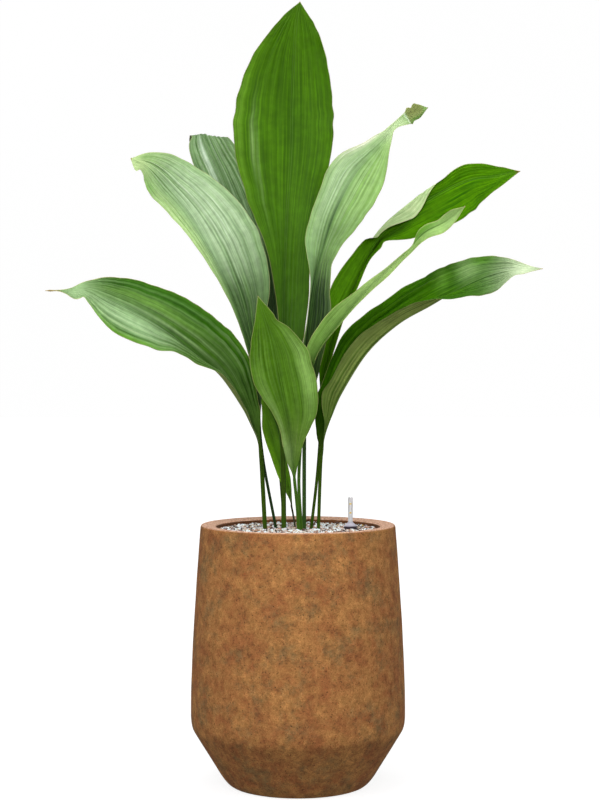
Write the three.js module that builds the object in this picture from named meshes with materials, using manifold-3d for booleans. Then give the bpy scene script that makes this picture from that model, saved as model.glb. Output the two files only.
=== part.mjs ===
// A cast iron plant in a stone-look planter: ten broad leaves, each on its own stalk, from one rootstock.
// Lengths are in millimetres and +Z is up. The origin is the middle of the planter's foot, on the ground, and
// the plant is seen from -Y.
import * as THREE from "three";
import { mergeVertices } from "three/addons/utils/BufferGeometryUtils.js";
import Module from "manifold-3d";

// Driving dimensions: the planter.
const planterHeight = 316.9;
const footRadius = 79;
const chamferFoot = { radius: 97, height: 18 };
const chamferTop = { radius: 126.6, height: 66.4 };
const bellyRadius = 130.4;
const bellyHeight = 84;
const lipRadius = 118.6;
const mouthRadius = 99;
const wallThickness = 9;
const floorThickness = 12;
const planterSides = 48;

// The planter's inner face, from the floor up to the mouth, as [radius, height] points.
const mouthEdge = planterHeight - 5.5;
const innerWall = [[82, floorThickness], [89.3, 22.7], [118.9, 71], [bellyRadius - wallThickness, 88],
  [120, 180], [113, 270], [mouthRadius + 1, 288], [mouthRadius, mouthEdge]];

// Driving dimensions: the fill, from the bottom up.
const drainageTop = 75;
const soilTop = 286;
const gravelTop = 309.5;
const chipSize = 8;
const chipRelief = 1.7;
const clearance = 0.3;
const fillSlack = 0.4;

// Driving dimensions: the rootstock that the stalks grow from.
const rootstockHeight = 274;
const knobRadius = 10.4;
const stalkEnd = 279;
const stalkSlack = 0.6;
const stalkHoleSides = 10;
const stalkHoleSpare = 12;

// Driving dimensions: the water gauge.
const gauge = { x: 64, y: 8, bottom: floorThickness + 2 * clearance, top: 349.2 };
const shaft = { outer: 6, inner: 4.4, top: 308.6 };
const flange = { radius: 8.1, low: shaft.top + clearance, high: 313.5 };
const collar = { wide: 7.8, narrow: 3.6, top: 318.7 };
const gaugeTube = { outer: 2.9, inner: 2 };
const floatRod = { radius: 1.3, tip: 321.4, bodyRadius: 3.8, bodyTop: 52 };
const gaugeSides = 18;

// Driving dimensions: the blades' sections.
const edgeHalf = 0.33;
const ribDepth = 0.5;
const tipHalfWidth = 0.5;
const pointsPerHalf = 3;
const ringsPerStation = 2;
const foldRelief = 0.6;
const waveHeight = 1.6;
const waveStations = 2.3;

// The leaves. A stalk is a line of points, with stem as its half thickness at the foot. A blade station is a
// point on the midrib, the half widths to the left and right of it, the azimuth and elevation that the upper
// side faces, and the degrees by which the left and right halves fold up from flat.
const leaves = {
  leaf_tall_centre: {
    stem: 3.05,
    stalk: [[-16.5, 16, stalkEnd], [-17.3, 15, 309], [-18, 14, 370], [-19, 15, 420]],
    blade: [
      [-19, 17, 443, 3.05, 3.05, -8, 5, 30, 30],
      [-19, 25, 504, 4, 20.5, -8, 5, 30, 25],
      [-18, 38, 578, 8, 32, -6, 6, 28, 22],
      [-16, 52, 652, 23.5, 34, -4, 8, 20, 18],
      [-13, 65, 715, 52, 41, -3, 8, 15, 14],
      [-9, 75, 778, 71, 52, -2, 8, 11, 12],
      [-7.8, 81, 836, 70, 52, -2, 8, 9, 10],
      [-5, 83, 898, 50, 40.5, -2, 8, 8, 8],
      [-2.2, 82, 940, 21.4, 22.8, -2, 8, 8, 8],
      [2.5, 81, 965.5, 0, 0, -2, 8, 8, 8],
    ],
  },
  leaf_upper_left: {
    stem: 1.8,
    stalk: [[-25, 17, stalkEnd], [-27, 15, 309], [-41.7, 12, 388], [-47.2, 8, 440]],
    blade: [
      [-49, 6, 468, 2.4, 4.6, 20, 10, 40, 40],
      [-55, 6, 517, 6, 14, 22, 12, 38, 32],
      [-66, 8, 558, 8, 28, 23, 14, 34, 28],
      [-82, 14, 600, 10.5, 52, 23, 16, 30, 24],
      [-105, 24, 649, 18, 63, 20, 18, 26, 20],
      [-133, 34, 696, 25, 56, 12, 22, 22, 16],
      [-163, 38, 733, 26.5, 41, 0, 30, 14, 12],
      [-185, 36, 755, 15, 24.5, -6, 40, -15, 8],
      [-205, 26, 764, 0, 0, -10, 45, -25, 4],
    ],
  },
  leaf_back_left: {
    stem: 2,
    stalk: [[-13.5, 34, stalkEnd], [-16.5, 40, 309], [-23.5, 58, 392], [-28, 68, 440]],
    blade: [
      [-29, 76, 466, 2.4, 2.4, 0, 5, 35, 35],
      [-34, 94, 542, 17, 11, 5, 8, 32, 30],
      [-47, 114, 612, 25, 23, 8, 12, 26, 24],
      [-67, 136, 677, 30, 36, 8, 18, 22, 20],
      [-91, 162, 737, 30, 40, 4, 30, 14, 10],
      [-114, 196, 788, 27.5, 37, 0, 55, -6, -2],
      [-128, 230, 818, 21, 35.5, 0, 85, -20, -14],
      [-135, 262, 809, 11, 22, 0, 112, -12, -8],
      [-138, 284, 790, 0, 0, 0, 130, -6, -6],
    ],
  },
  leaf_upper_right: {
    stem: 2.4,
    stalk: [[6.5, 2, stalkEnd], [7.5, 2, 309], [7.5, 3, 370], [7.7, 4, 420]],
    blade: [
      [8.3, 4, 443, 2.6, 2.6, -5, 5, 45, 45],
      [9, 7, 510, 8, 23, -8, 6, 60, 40],
      [13, 12, 568, 3, 33, -10, 8, 90, 40],
      [19, 18, 611, 6, 25, -10, 8, 80, 34],
      [30, 27, 656, 23, 25, -10, 10, 36, 26],
      [43, 37, 699, 25, 44, -12, 12, 20, 22],
      [70, 52, 750, 29.5, 44.5, -14, 14, 16, 14],
      [108, 68, 791, 12.7, 10, -10, 16, 10, 10],
      [117.5, 73, 807.5, 3.6, 5.4, -8, 14, 8, 8],
      [133, 77, 821, 4, 11.5, -5, 10, 6, 6],
      [146.5, 78, 827, 9.5, 9, -5, 8, 4, 4],
      [163, 77, 832.5, 0, 0, -5, 8, 0, 0],
    ],
  },
  leaf_twisted_right: {
    stem: 1.9,
    stalk: [[14, 8, stalkEnd], [16, 10, 309], [23, 16, 370], [27, 22, 420]],
    blade: [
      [28, 26, 443, 2.5, 2.2, 10, 5, 40, 40],
      [33, 38, 504, 9, 6, 5, 5, 36, 60],
      [47.5, 52, 560, 19.5, 15.5, -5, 6, 26, 85],
      [68, 66, 604, 26, 19, -8, 8, 20, 95],
      [88, 80, 645, 19, 16.5, -8, 10, 20, 92],
      [108, 90, 675, 10, 20, -8, 10, 20, 20],
      [143, 100, 704, 12, 36, -5, 14, 10, 6],
      [180, 110, 728, 14, 46, -2, 18, 10, 6],
      [219, 114, 746, 21.5, 38, 0, 20, 10, 6],
      [253, 112, 750, 14.5, 17, 0, 20, 6, 4],
      [282, 106, 756, 0, 0, 0, 20, 4, 4],
    ],
  },
  leaf_narrow_right: {
    stem: 2,
    stalk: [[6.5, -6, stalkEnd], [4.4, -8, 309], [1, -12, 370], [4.5, -18, 432]],
    blade: [
      [8, -22, 462, 2.2, 2.2, -20, 0, 50, 50],
      [20.5, -32, 517, 15, 6, -30, 20, 50, 80],
      [48, -44, 558, 19, 14, -35, 35, 44, 50],
      [82.8, -62, 600, 9.2, 12, -35, 42, 40, 25],
      [120, -82, 636, 3, 11, -30, 45, 36, 10],
      [146, -96, 663, 9, 15.5, -10, 40, 30, 30],
      [172, -106, 677, 8.5, 8.5, 20, 20, 20, 20],
      [193, -112, 694, 0, 0, 30, 10, 10, 10],
    ],
  },
  leaf_arching_right: {
    stem: 2.1,
    stalk: [[22, -2, stalkEnd], [24.6, -4, 309], [26.6, -8, 370], [28.5, -12, 404]],
    blade: [
      [31.2, -14, 424, 9.7, 5.7, -38, 30, 45, 70],
      [40.2, -18, 449, 24, 19.5, -42, 38, 50, 92],
      [53.4, -26, 479, 30, 34.5, -42, 48, 52, 96],
      [83, -42, 526, 42.5, 34, -36, 58, 50, 88],
      [119, -60, 559.5, 43, 28, -28, 62, 44, 72],
      [156, -80, 581, 54, 25, -22, 64, 38, 62],
      [186, -96, 599, 43, 30.5, -12, 62, 30, 4],
      [215, -108, 613, 36.5, 32, -4, 56, 20, -10],
      [242, -118, 620, 17.5, 20.5, 0, 50, 10, -6],
      [262, -126, 620, 8, 6, 0, 45, 6, 0],
      [280, -132, 621, 0, 0, 0, 45, 4, 0],
    ],
  },
  leaf_arching_left: {
    stem: 2.7,
    stalk: [[-38.8, 6, stalkEnd], [-40.2, 4, 309], [-42.6, 0, 358], [-44.8, -5, 400]],
    blade: [
      [-48, -8, 420, 2.8, 2.8, 35, 30, 45, 45],
      [-58.2, -12, 442, 10, 15, 35, 36, 60, 48],
      [-67.2, -18, 460, 16, 26, 34, 42, 70, 48],
      [-91, -32, 496, 26, 47, 28, 46, 60, 42],
      [-114, -46, 518, 28.5, 57.5, 22, 46, 40, 34],
      [-144, -62, 543, 36, 55.5, 14, 46, 22, 24],
      [-176, -78, 565, 54, 50, 8, 46, 12, 16],
      [-213, -94, 585, 49, 37.5, 2, 44, 8, 10],
      [-243, -104, 598, 21, 14, 0, 42, 4, 6],
      [-265, -110, 597.5, 6, 2.4, 0, 40, 0, 0],
      [-291, -116, 596.5, 0, 0, 0, 40, 0, 0],
    ],
  },
  leaf_small_front: {
    stem: 2,
    stalk: [[2.8, -13, stalkEnd], [0.8, -16, 309], [-1, -22, 340], [-4, -28, 370]],
    blade: [
      [-5, -30, 381, 2.6, 3, 10, 0, 40, 40],
      [-8, -36, 415, 12, 15, 10, 2, 34, 34],
      [-14, -44, 452, 16, 38, 8, 6, 26, 22],
      [-23, -54, 499, 33, 42, 6, 10, 18, 14],
      [-32, -64, 543, 26, 28, 4, 14, 14, 10],
      [-41, -72, 572, 10, 10, 2, 16, 10, 8],
      [-47, -76, 592, 0, 0, 0, 18, 6, 6],
    ],
  },
  leaf_small_back: {
    stem: 1.2,
    stalk: [[-2, 22, stalkEnd], [-4, 24, 312], [-6, 26, 326], [-8, 28, 336]],
    blade: [
      [-9, 29, 344, 1.6, 1.6, 15, 0, 30, 30],
      [-15, 32, 369, 8.8, 6.2, 15, 0, 26, 26],
      [-25, 38, 398, 9.5, 10, 12, 2, 22, 22],
      [-35, 46, 430, 9.5, 17, 10, 4, 16, 16],
      [-41, 52, 452, 4, 10, 8, 6, 10, 10],
      [-47, 56, 474, 0, 0, 5, 8, 6, 6],
    ],
  },
};

const wasm = await Module();
wasm.setup();

// A closed geometry as a solid that can be joined and cut. Triangles with no area, as at a lathe's axis, go.
function solidOf(geometry) {
  const bare = geometry.clone();
  bare.deleteAttribute("normal");
  bare.deleteAttribute("uv");
  const merged = mergeVertices(bare, 1e-4);
  const corners = merged.index.array;
  const kept = [];
  for (let i = 0; i < corners.length; i += 3) {
    const [a, b, c] = corners.slice(i, i + 3);
    if (a !== b && b !== c && c !== a) kept.push(a, b, c);
  }
  const mesh = new wasm.Mesh({
    numProp: 3,
    vertProperties: new Float32Array(merged.attributes.position.array),
    triVerts: new Uint32Array(kept),
  });
  mesh.merge();
  return new wasm.Manifold(mesh);
}

// A solid back as a geometry.
function geometryOf(solid) {
  const mesh = solid.getMesh();
  const geometry = new THREE.BufferGeometry();
  geometry.setAttribute("position", new THREE.BufferAttribute(new Float32Array(mesh.vertProperties), 3));
  geometry.setIndex(new THREE.BufferAttribute(new Uint32Array(mesh.triVerts), 1));
  geometry.computeVertexNormals();
  return geometry;
}

// A profile of [radius, height] points turned round the upright line through x, y.
function turned(profile, sides, x = 0, y = 0) {
  const points = profile.map(([radius, height]) => new THREE.Vector2(radius, height));
  return new THREE.LatheGeometry(points, sides).rotateX(Math.PI / 2).translate(x, y, 0);
}

// The planter: a rounded foot, a straight chamfer up to the crease, a gently bowed wall, and a broad rim that
// falls a little towards the mouth. Under the rim the wall runs inside at its own thickness.
function planterGeometry() {
  const point = (radius, height) => new THREE.Vector2(radius, height);
  const foot = new THREE.QuadraticBezierCurve(
    point(footRadius, 0), point(footRadius + 7, 0), point(chamferFoot.radius, chamferFoot.height));
  const crease = new THREE.QuadraticBezierCurve(
    point(chamferTop.radius, chamferTop.height), point(130, 72), point(bellyRadius, bellyHeight));
  const wall = new THREE.CubicBezierCurve(
    point(bellyRadius, bellyHeight), point(131, 130), point(126, 220), point(lipRadius, planterHeight - 4));
  const lip = new THREE.QuadraticBezierCurve(
    point(lipRadius, planterHeight - 4), point(lipRadius - 0.2, planterHeight),
    point(lipRadius - 3, planterHeight));
  const mouth = new THREE.QuadraticBezierCurve(
    point(mouthRadius + 4, planterHeight - 1.4), point(mouthRadius + 0.2, planterHeight - 1.8),
    point(mouthRadius, mouthEdge));
  const outside = [point(0, 0), ...foot.getPoints(3), ...crease.getPoints(2), ...wall.getPoints(6).slice(1)];
  const rim = [...lip.getPoints(2).slice(1), ...mouth.getPoints(2)];
  const skin = [...outside, ...rim].map(({ x, y }) => [x, y]);
  const inside = innerWall.slice(0, -1).reverse();
  return turned([...skin, ...inside, [0, floorThickness]], planterSides);
}

// What fills the planter between two heights: a solid of the inner wall's shape, drawn in a little.
function fillSolid(low, high) {
  const radiusAt = (height) => {
    const k = innerWall.findIndex((point) => point[1] > height);
    const [below, above] = [innerWall[k - 1], innerWall[k]];
    return THREE.MathUtils.mapLinear(height, below[1], above[1], below[0], above[0]);
  };
  const between = innerWall.filter((point) => point[1] > low && point[1] < high);
  const side = [[radiusAt(low), low], ...between, [radiusAt(high), high]];
  const profile = side.map(([radius, height]) => [radius - fillSlack, height]);
  return solidOf(turned([[0, low], ...profile, [0, high]], planterSides));
}

// A round rod along a stalk's foot, a little wider than the stalk: the plain hole that the stalk stands in.
function stalkHole(leaf) {
  const low = new THREE.Vector3(...leaf.stalk[0]);
  const high = new THREE.Vector3(...leaf.stalk[1]);
  const along = high.clone().sub(low).normalize();
  low.addScaledVector(along, -clearance);
  high.addScaledVector(along, stalkHoleSpare);
  const radius = leaf.stem + stalkSlack;
  const rod = new THREE.CylinderGeometry(radius, radius, low.distanceTo(high), stalkHoleSides);
  const turn = new THREE.Quaternion().setFromUnitVectors(new THREE.Vector3(0, 1, 0), along);
  const middle = low.clone().add(high).multiplyScalar(0.5);
  return solidOf(rod.applyQuaternion(turn).translate(middle.x, middle.y, middle.z));
}

const stalkHoles = Object.values(leaves).map(stalkHole);

// The rootstock: a knob under each stalk and two between neighbours, grown together. spare makes it larger
// all round, which is the hollow that it fills in the soil.
function rootstockSolid(spare) {
  const between = [[-32, 12], [2, 14]];
  const spots = Object.values(leaves).map((leaf) => leaf.stalk[0].slice(0, 2)).concat(between);
  const knobs = spots.map(([x, y]) => {
    const knob = new THREE.IcosahedronGeometry(knobRadius + spare, 0);
    return solidOf(knob.translate(x, y, rootstockHeight));
  });
  return knobs.reduce((whole, knob) => whole.add(knob));
}

function rootstockGeometry() {
  return geometryOf(stalkHoles.reduce((whole, hole) => whole.subtract(hole), rootstockSolid(0)));
}

// The gauge's hole through the fill, from the floor up.
function gaugeHole(radius, low, high) {
  return solidOf(turned([[0, low], [radius, low], [radius, high], [0, high]], gaugeSides, gauge.x, gauge.y));
}

// The coarse drainage layer in the chamfered part of the planter.
function drainageGeometry() {
  const layer = fillSolid(floorThickness + clearance, drainageTop);
  return geometryOf(layer.subtract(gaugeHole(shaft.outer + clearance, 0, planterHeight)));
}

// The soil, up to the underside of the pumice, with the hollow that the rootstock fills.
function soilGeometry() {
  const hollow = rootstockSolid(1.5 * clearance);
  let soil = fillSolid(drainageTop + clearance, soilTop).subtract(hollow);
  soil = stalkHoles.reduce((whole, hole) => whole.subtract(hole), soil);
  return geometryOf(soil.subtract(gaugeHole(shaft.outer + clearance, 0, planterHeight)));
}

// A fixed scatter of values from 0 to 1, one for each pair of whole numbers and each salt.
function scatter(i, j, salt) {
  let value = Math.imul(i + 17, 374761393) ^ Math.imul(j + 29, 668265263) ^ Math.imul(salt + 3, 2246822519);
  value = Math.imul(value ^ (value >>> 13), 1274126177);
  return ((value ^ (value >>> 16)) >>> 0) / 4294967296;
}

// The pumice: a bed of chips, one to each square of the bed, which stand higher or lower than the next ones.
function gravelGeometry() {
  const low = soilTop + clearance;
  const count = Math.ceil((2 * mouthRadius) / chipSize) + 2;
  const bed = new THREE.PlaneGeometry(count * chipSize, count * chipSize, count, count);
  const spots = bed.attributes.position;
  for (let i = 0; i < spots.count; i += 1) {
    const column = i % (count + 1);
    const row = Math.floor(i / (count + 1));
    const rim = column === 0 || row === 0 || column === count || row === count;
    const shift = rim ? 0 : 0.5 * chipSize;
    const x = spots.getX(i) + shift * (scatter(column, row, 1) - 0.5);
    const y = spots.getY(i) + shift * (scatter(column, row, 2) - 0.5);
    spots.setXYZ(i, x, y, gravelTop + chipRelief * (2 * scatter(column, row, 3) - 1));
  }
  const corners = Array.from(bed.toNonIndexed().attributes.position.array);
  const edge = (i, j) => {
    const at = (j * (count + 1) + i) * 3;
    return Array.from(spots.array.slice(at, at + 3));
  };
  const border = [];
  for (let i = 0; i < count; i += 1) border.push(edge(i, 0));
  for (let j = 0; j < count; j += 1) border.push(edge(count, j));
  for (let i = count; i > 0; i -= 1) border.push(edge(i, count));
  for (let j = count; j > 0; j -= 1) border.push(edge(0, j));
  border.forEach((here, k) => {
    const next = border[(k + 1) % border.length];
    const hereLow = [here[0], here[1], low - chipSize];
    const nextLow = [next[0], next[1], low - chipSize];
    corners.push(...here, ...next, ...nextLow, ...here, ...nextLow, ...hereLow);
    corners.push(...hereLow, ...nextLow, 0, 0, low - chipSize);
  });
  const block = new THREE.BufferGeometry();
  block.setAttribute("position", new THREE.BufferAttribute(new Float32Array(corners), 3));
  const reach = mouthRadius - fillSlack;
  const mouth = [[0, low], [reach, low], [reach, planterHeight], [0, planterHeight]];
  let gravel = solidOf(block).intersect(solidOf(turned(mouth, planterSides)));
  gravel = stalkHoles.reduce((whole, hole) => whole.subtract(hole), gravel);
  gravel = gravel.subtract(gaugeHole(shaft.outer + clearance, 0, planterHeight));
  return geometryOf(gravel.subtract(gaugeHole(flange.radius + clearance, shaft.top, planterHeight)));
}

// The gauge, from the outside in: a long cup that stands on the floor, a dark flange on the pumice, a clear
// cone on the flange, a clear tube with a round top, and the float with its rod inside.
function shaftGeometry() {
  const { bottom, x, y } = gauge;
  const profile = [[0, bottom], [shaft.outer, bottom], [shaft.outer, shaft.top], [shaft.inner, shaft.top],
    [shaft.inner, bottom + 2], [0, bottom + 2]];
  return turned(profile, gaugeSides, x, y);
}

function ringGeometry(inner, low, wide, narrow, high) {
  const profile = [[inner, low], [wide, low], [narrow, high], [inner, high], [inner, low]];
  return turned(profile, gaugeSides, gauge.x, gauge.y);
}

function flangeGeometry() {
  const bore = floatRod.radius + 0.5;
  return ringGeometry(bore, flange.low, flange.radius, flange.radius - 0.8, flange.high);
}

function collarGeometry() {
  const bore = gaugeTube.outer + clearance;
  return ringGeometry(bore, flange.high + clearance, collar.wide, collar.narrow, collar.top);
}

function gaugeTubeGeometry() {
  const low = flange.high + clearance;
  const outer = gaugeTube.outer;
  const inner = gaugeTube.inner;
  const shoulder = gauge.top - outer;
  const profile = [[inner, low], [outer, low], [outer, shoulder]];
  for (let k = 1; k <= 3; k += 1) {
    const turn = (k * Math.PI) / 6;
    profile.push([k === 3 ? 0 : outer * Math.cos(turn), shoulder + outer * Math.sin(turn)]);
  }
  profile.push([0, shoulder + 1], [inner, shoulder], [inner, low]);
  return turned(profile, gaugeSides, gauge.x, gauge.y);
}

function floatGeometry() {
  const low = gauge.bottom + 2 + clearance;
  const { radius, tip, bodyRadius, bodyTop } = floatRod;
  const profile = [[0, low], [bodyRadius, low], [bodyRadius, bodyTop], [radius, bodyTop + 4],
    [radius, tip - 0.8], [0.6 * radius, tip], [0, tip]];
  return turned(profile, gaugeSides, gauge.x, gauge.y);
}

// A smooth value through a row of values, at the place u, where whole numbers are the row's own entries.
function smooth(row, u) {
  const last = row.length - 1;
  const i = Math.min(Math.floor(u), last - 1);
  const f = u - i;
  const b = row[i];
  const c = row[i + 1];
  const a = i > 0 ? row[i - 1] : 2 * b - c;
  const d = i + 2 <= last ? row[i + 2] : 2 * c - b;
  const square = 2 * a - 5 * b + 4 * c - d;
  const cube = 3 * b - a - 3 * c + d;
  return b + 0.5 * f * (c - a + f * (square + f * cube));
}

// One leaf, from the foot of its stalk to its tip, as a closed skin: rings of points across the upper side
// and the same across the underside, cut into triangles alike on both. Each half bends up from the midrib by
// its fold, less and less towards the edge, and the edge rises and falls in a slow wave.
function leafGeometry(leaf, phase) {
  const [azimuthAtFoot, elevationAtFoot] = leaf.blade[0].slice(5, 7);
  const stalkSection = [leaf.stem, leaf.stem, azimuthAtFoot, elevationAtFoot, 0, 0];
  const rows = leaf.stalk.map((point) => [...point, ...stalkSection]).concat(leaf.blade);
  const columns = rows[0].map((_, k) => rows.map((row) => row[k]));
  const at = (u) => columns.map((values) => smooth(values, u));
  const stalkCount = leaf.stalk.length;
  const last = rows.length - 1;
  const places = [];
  for (let u = 0; u < stalkCount; u += 1) places.push(u);
  const bladeRings = (last - stalkCount) * ringsPerStation;
  for (let k = 0; k <= bladeRings; k += 1) places.push(stalkCount + k / ringsPerStation);
  const upper = [];
  const lower = [];
  for (const u of places) {
    const [x, y, z, left, right, azimuth, elevation, leftFold, rightFold] = at(u);
    const middle = new THREE.Vector3(x, y, z);
    const before = new THREE.Vector3(...at(Math.max(u - 0.01, 0)));
    const after = new THREE.Vector3(...at(Math.min(u + 0.01, last)));
    const along = after.sub(before).normalize();
    const az = THREE.MathUtils.degToRad(azimuth);
    const el = THREE.MathUtils.degToRad(elevation);
    const face = new THREE.Vector3(Math.sin(az) * Math.cos(el), -Math.cos(az) * Math.cos(el), Math.sin(el));
    face.addScaledVector(along, -face.dot(along)).normalize();
    const side = new THREE.Vector3().crossVectors(along, face);
    const blade = THREE.MathUtils.clamp((u - stalkCount + 1) / 2, 0, 1);
    const flat = THREE.MathUtils.smoothstep(blade, 0, 1);
    const rib = THREE.MathUtils.lerp(0.9 * leaf.stem - edgeHalf, ribDepth, flat);
    const wave = Math.sin((2 * Math.PI * (u - stalkCount)) / waveStations + phase);
    const ring = [];
    for (const [sign, half, fold] of [[-1, left, leftFold], [1, right, rightFold]]) {
      const width = Math.max(half, tipHalfWidth);
      let out = 0;
      let up = 0;
      for (let j = 0; j <= pointsPerHalf; j += 1) {
        const v = j / pointsPerHalf;
        const turn = THREE.MathUtils.degToRad(fold * (1 - foldRelief * v));
        if (j > 0) {
          const mid = THREE.MathUtils.degToRad(fold * (1 - foldRelief * (v - 0.5 / pointsPerHalf)));
          out += (Math.cos(mid) * width) / pointsPerHalf;
          up += (Math.sin(mid) * width) / pointsPerHalf;
        }
        const lift = waveHeight * wave * v * v * Math.min(1, width / 30) * blade;
        const spot = middle.clone().addScaledVector(side, sign * out).addScaledVector(face, up + lift);
        const normal = face.clone();
        if (j > 0) normal.multiplyScalar(Math.cos(turn)).addScaledVector(side, -sign * Math.sin(turn));
        const bulge = rib * Math.sqrt(1 - v * v);
        const top = spot.clone().addScaledVector(normal, edgeHalf + bulge * (1 - blade));
        const under = spot.clone().addScaledVector(normal, -edgeHalf - bulge * (j === 0 ? 1 : 1 - blade));
        if (sign < 0) ring.unshift([top, under]);
        else if (j > 0) ring.push([top, under]);
      }
    }
    upper.push(ring.map((pair) => pair[0]));
    lower.push(ring.map((pair) => pair[1]));
  }
  const corners = [];
  const add = (...points) => points.forEach((point) => corners.push(point.x, point.y, point.z));
  const quad = (a, b, c, d) => add(a, b, c, a, c, d);
  const across = upper[0].length - 1;
  const end = places.length - 1;
  for (let i = 0; i < end; i += 1) {
    for (let j = 0; j < across; j += 1) {
      quad(upper[i][j], upper[i][j + 1], upper[i + 1][j + 1], upper[i + 1][j]);
      add(lower[i][j], lower[i + 1][j + 1], lower[i][j + 1]);
      add(lower[i][j], lower[i + 1][j], lower[i + 1][j + 1]);
    }
    quad(lower[i][0], upper[i][0], upper[i + 1][0], lower[i + 1][0]);
    quad(upper[i][across], lower[i][across], lower[i + 1][across], upper[i + 1][across]);
  }
  for (let j = 0; j < across; j += 1) {
    quad(upper[0][j + 1], upper[0][j], lower[0][j], lower[0][j + 1]);
    quad(upper[end][j], upper[end][j + 1], lower[end][j + 1], lower[end][j]);
  }
  const geometry = new THREE.BufferGeometry();
  geometry.setAttribute("position", new THREE.BufferAttribute(new Float32Array(corners), 3));
  geometry.computeVertexNormals();
  return geometry;
}

// Colours as they look in even light: stone, fills, plastics and the greens of the leaves.
const stone = new THREE.MeshStandardMaterial({ color: 0xa6733f, roughness: 0.9, metalness: 0 });
const claySoil = new THREE.MeshStandardMaterial({ color: 0x7a4a34, roughness: 1, metalness: 0 });
const peat = new THREE.MeshStandardMaterial({ color: 0x2e2118, roughness: 1, metalness: 0 });
const pumice = new THREE.MeshStandardMaterial({ color: 0xd9d6cf, roughness: 0.95, metalness: 0 });
const root = new THREE.MeshStandardMaterial({ color: 0xb79f6c, roughness: 0.8, metalness: 0 });
const darkPlastic = new THREE.MeshStandardMaterial({ color: 0x3a3d40, roughness: 0.5, metalness: 0 });
const clearPlastic = new THREE.MeshStandardMaterial({ color: 0xdfe6e6, roughness: 0.15, metalness: 0 });
const redPlastic = new THREE.MeshStandardMaterial({ color: 0xc8452d, roughness: 0.4, metalness: 0 });
const darkLeaf = new THREE.MeshStandardMaterial({ color: 0x46791c, roughness: 0.45, metalness: 0 });
const brightLeaf = new THREE.MeshStandardMaterial({ color: 0x5f962b, roughness: 0.45, metalness: 0 });
const paleLeaf = new THREE.MeshStandardMaterial({ color: 0x9db98c, roughness: 0.4, metalness: 0 });

const leafMaterials = {
  leaf_tall_centre: darkLeaf,
  leaf_upper_left: paleLeaf,
  leaf_back_left: paleLeaf,
  leaf_upper_right: paleLeaf,
  leaf_twisted_right: darkLeaf,
  leaf_narrow_right: brightLeaf,
  leaf_arching_right: darkLeaf,
  leaf_arching_left: darkLeaf,
  leaf_small_front: brightLeaf,
  leaf_small_back: brightLeaf,
};

const plant = new THREE.Group();

function place(name, geometry, material) {
  const mesh = new THREE.Mesh(geometry, material);
  mesh.name = name;
  plant.add(mesh);
}

place("planter", planterGeometry(), stone);
place("drainage_layer", drainageGeometry(), claySoil);
place("potting_soil", soilGeometry(), peat);
place("pumice_topping", gravelGeometry(), pumice);
place("rootstock", rootstockGeometry(), root);
place("gauge_shaft", shaftGeometry(), darkPlastic);
place("gauge_flange", flangeGeometry(), darkPlastic);
place("gauge_collar", collarGeometry(), clearPlastic);
place("gauge_tube", gaugeTubeGeometry(), clearPlastic);
place("gauge_float", floatGeometry(), redPlastic);
Object.entries(leaves).forEach(([name, leaf], index) => {
  place(name, leafGeometry(leaf, 1.7 * index), leafMaterials[name]);
});

export default plant;
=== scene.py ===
import math
from types import SimpleNamespace

import bpy
import numpy as np
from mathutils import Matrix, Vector


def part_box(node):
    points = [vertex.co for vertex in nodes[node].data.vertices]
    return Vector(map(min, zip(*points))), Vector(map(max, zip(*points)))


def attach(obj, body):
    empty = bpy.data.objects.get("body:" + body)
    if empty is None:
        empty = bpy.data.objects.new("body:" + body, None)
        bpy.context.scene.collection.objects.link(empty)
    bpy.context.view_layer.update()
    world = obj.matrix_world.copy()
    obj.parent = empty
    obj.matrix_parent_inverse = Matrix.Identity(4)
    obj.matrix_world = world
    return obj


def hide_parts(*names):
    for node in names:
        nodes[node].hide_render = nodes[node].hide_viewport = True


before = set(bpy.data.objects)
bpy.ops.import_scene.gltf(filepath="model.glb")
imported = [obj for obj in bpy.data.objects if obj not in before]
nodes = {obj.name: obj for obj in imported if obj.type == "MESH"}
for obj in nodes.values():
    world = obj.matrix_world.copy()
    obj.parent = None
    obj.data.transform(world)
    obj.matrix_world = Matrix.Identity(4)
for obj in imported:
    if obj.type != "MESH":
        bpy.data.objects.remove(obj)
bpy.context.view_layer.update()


# The planter: one round pot cast in a mould from fibre clay and stained rust brown like weathered stone. Its
# foot is chamfered up to a crease, the wall bows a little and draws in, and the broad rim is rubbed paler.
# Its inner wall is painted darker: painted shade inside the mouth.
planter_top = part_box("planter")[1].z
belly_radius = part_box("planter")[1].x
lip_radius = 0.1186
lip_round = 0.003
mouth_radius = 0.099
rim_height = planter_top - 0.0014
mouth_height = planter_top - 0.0055
crease_height = 0.084
wall_thickness = 0.009
inner_floor = 0.012
planter_sides = 240
cast_unevenness = 0.00022


def bend(points, steps):
    """A smooth stretch of profile: the Bezier curve over three or four points, as [radius, height] rows."""
    share = np.linspace(0, 1, steps + 1)[:, None]
    degree = len(points) - 1
    return sum(
        math.comb(degree, k) * share**k * (1 - share) ** (degree - k) * np.array(point)
        for k, point in enumerate(points)
    )


def straight(start, end, steps):
    """Rows evenly spaced between two points, without the points themselves."""
    share = np.linspace(0, 1, steps + 1)[1:-1, None]
    return (1 - share) * np.array(start) + share * np.array(end)


def skin(name, points, faces, crisp=None):
    """A mesh at the origin from an array of points and lists of corner numbers. Edges sharper than crisp, an
    angle in degrees, show as edges."""
    mesh = bpy.data.meshes.new(name)
    mesh.from_pydata(points.tolist(), [], faces)
    mesh.shade_smooth()
    if crisp is not None:
        mesh.set_sharp_from_angle(angle=math.radians(crisp))
    made = bpy.data.objects.new(name, mesh)
    bpy.context.scene.collection.objects.link(made)
    return made


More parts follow.
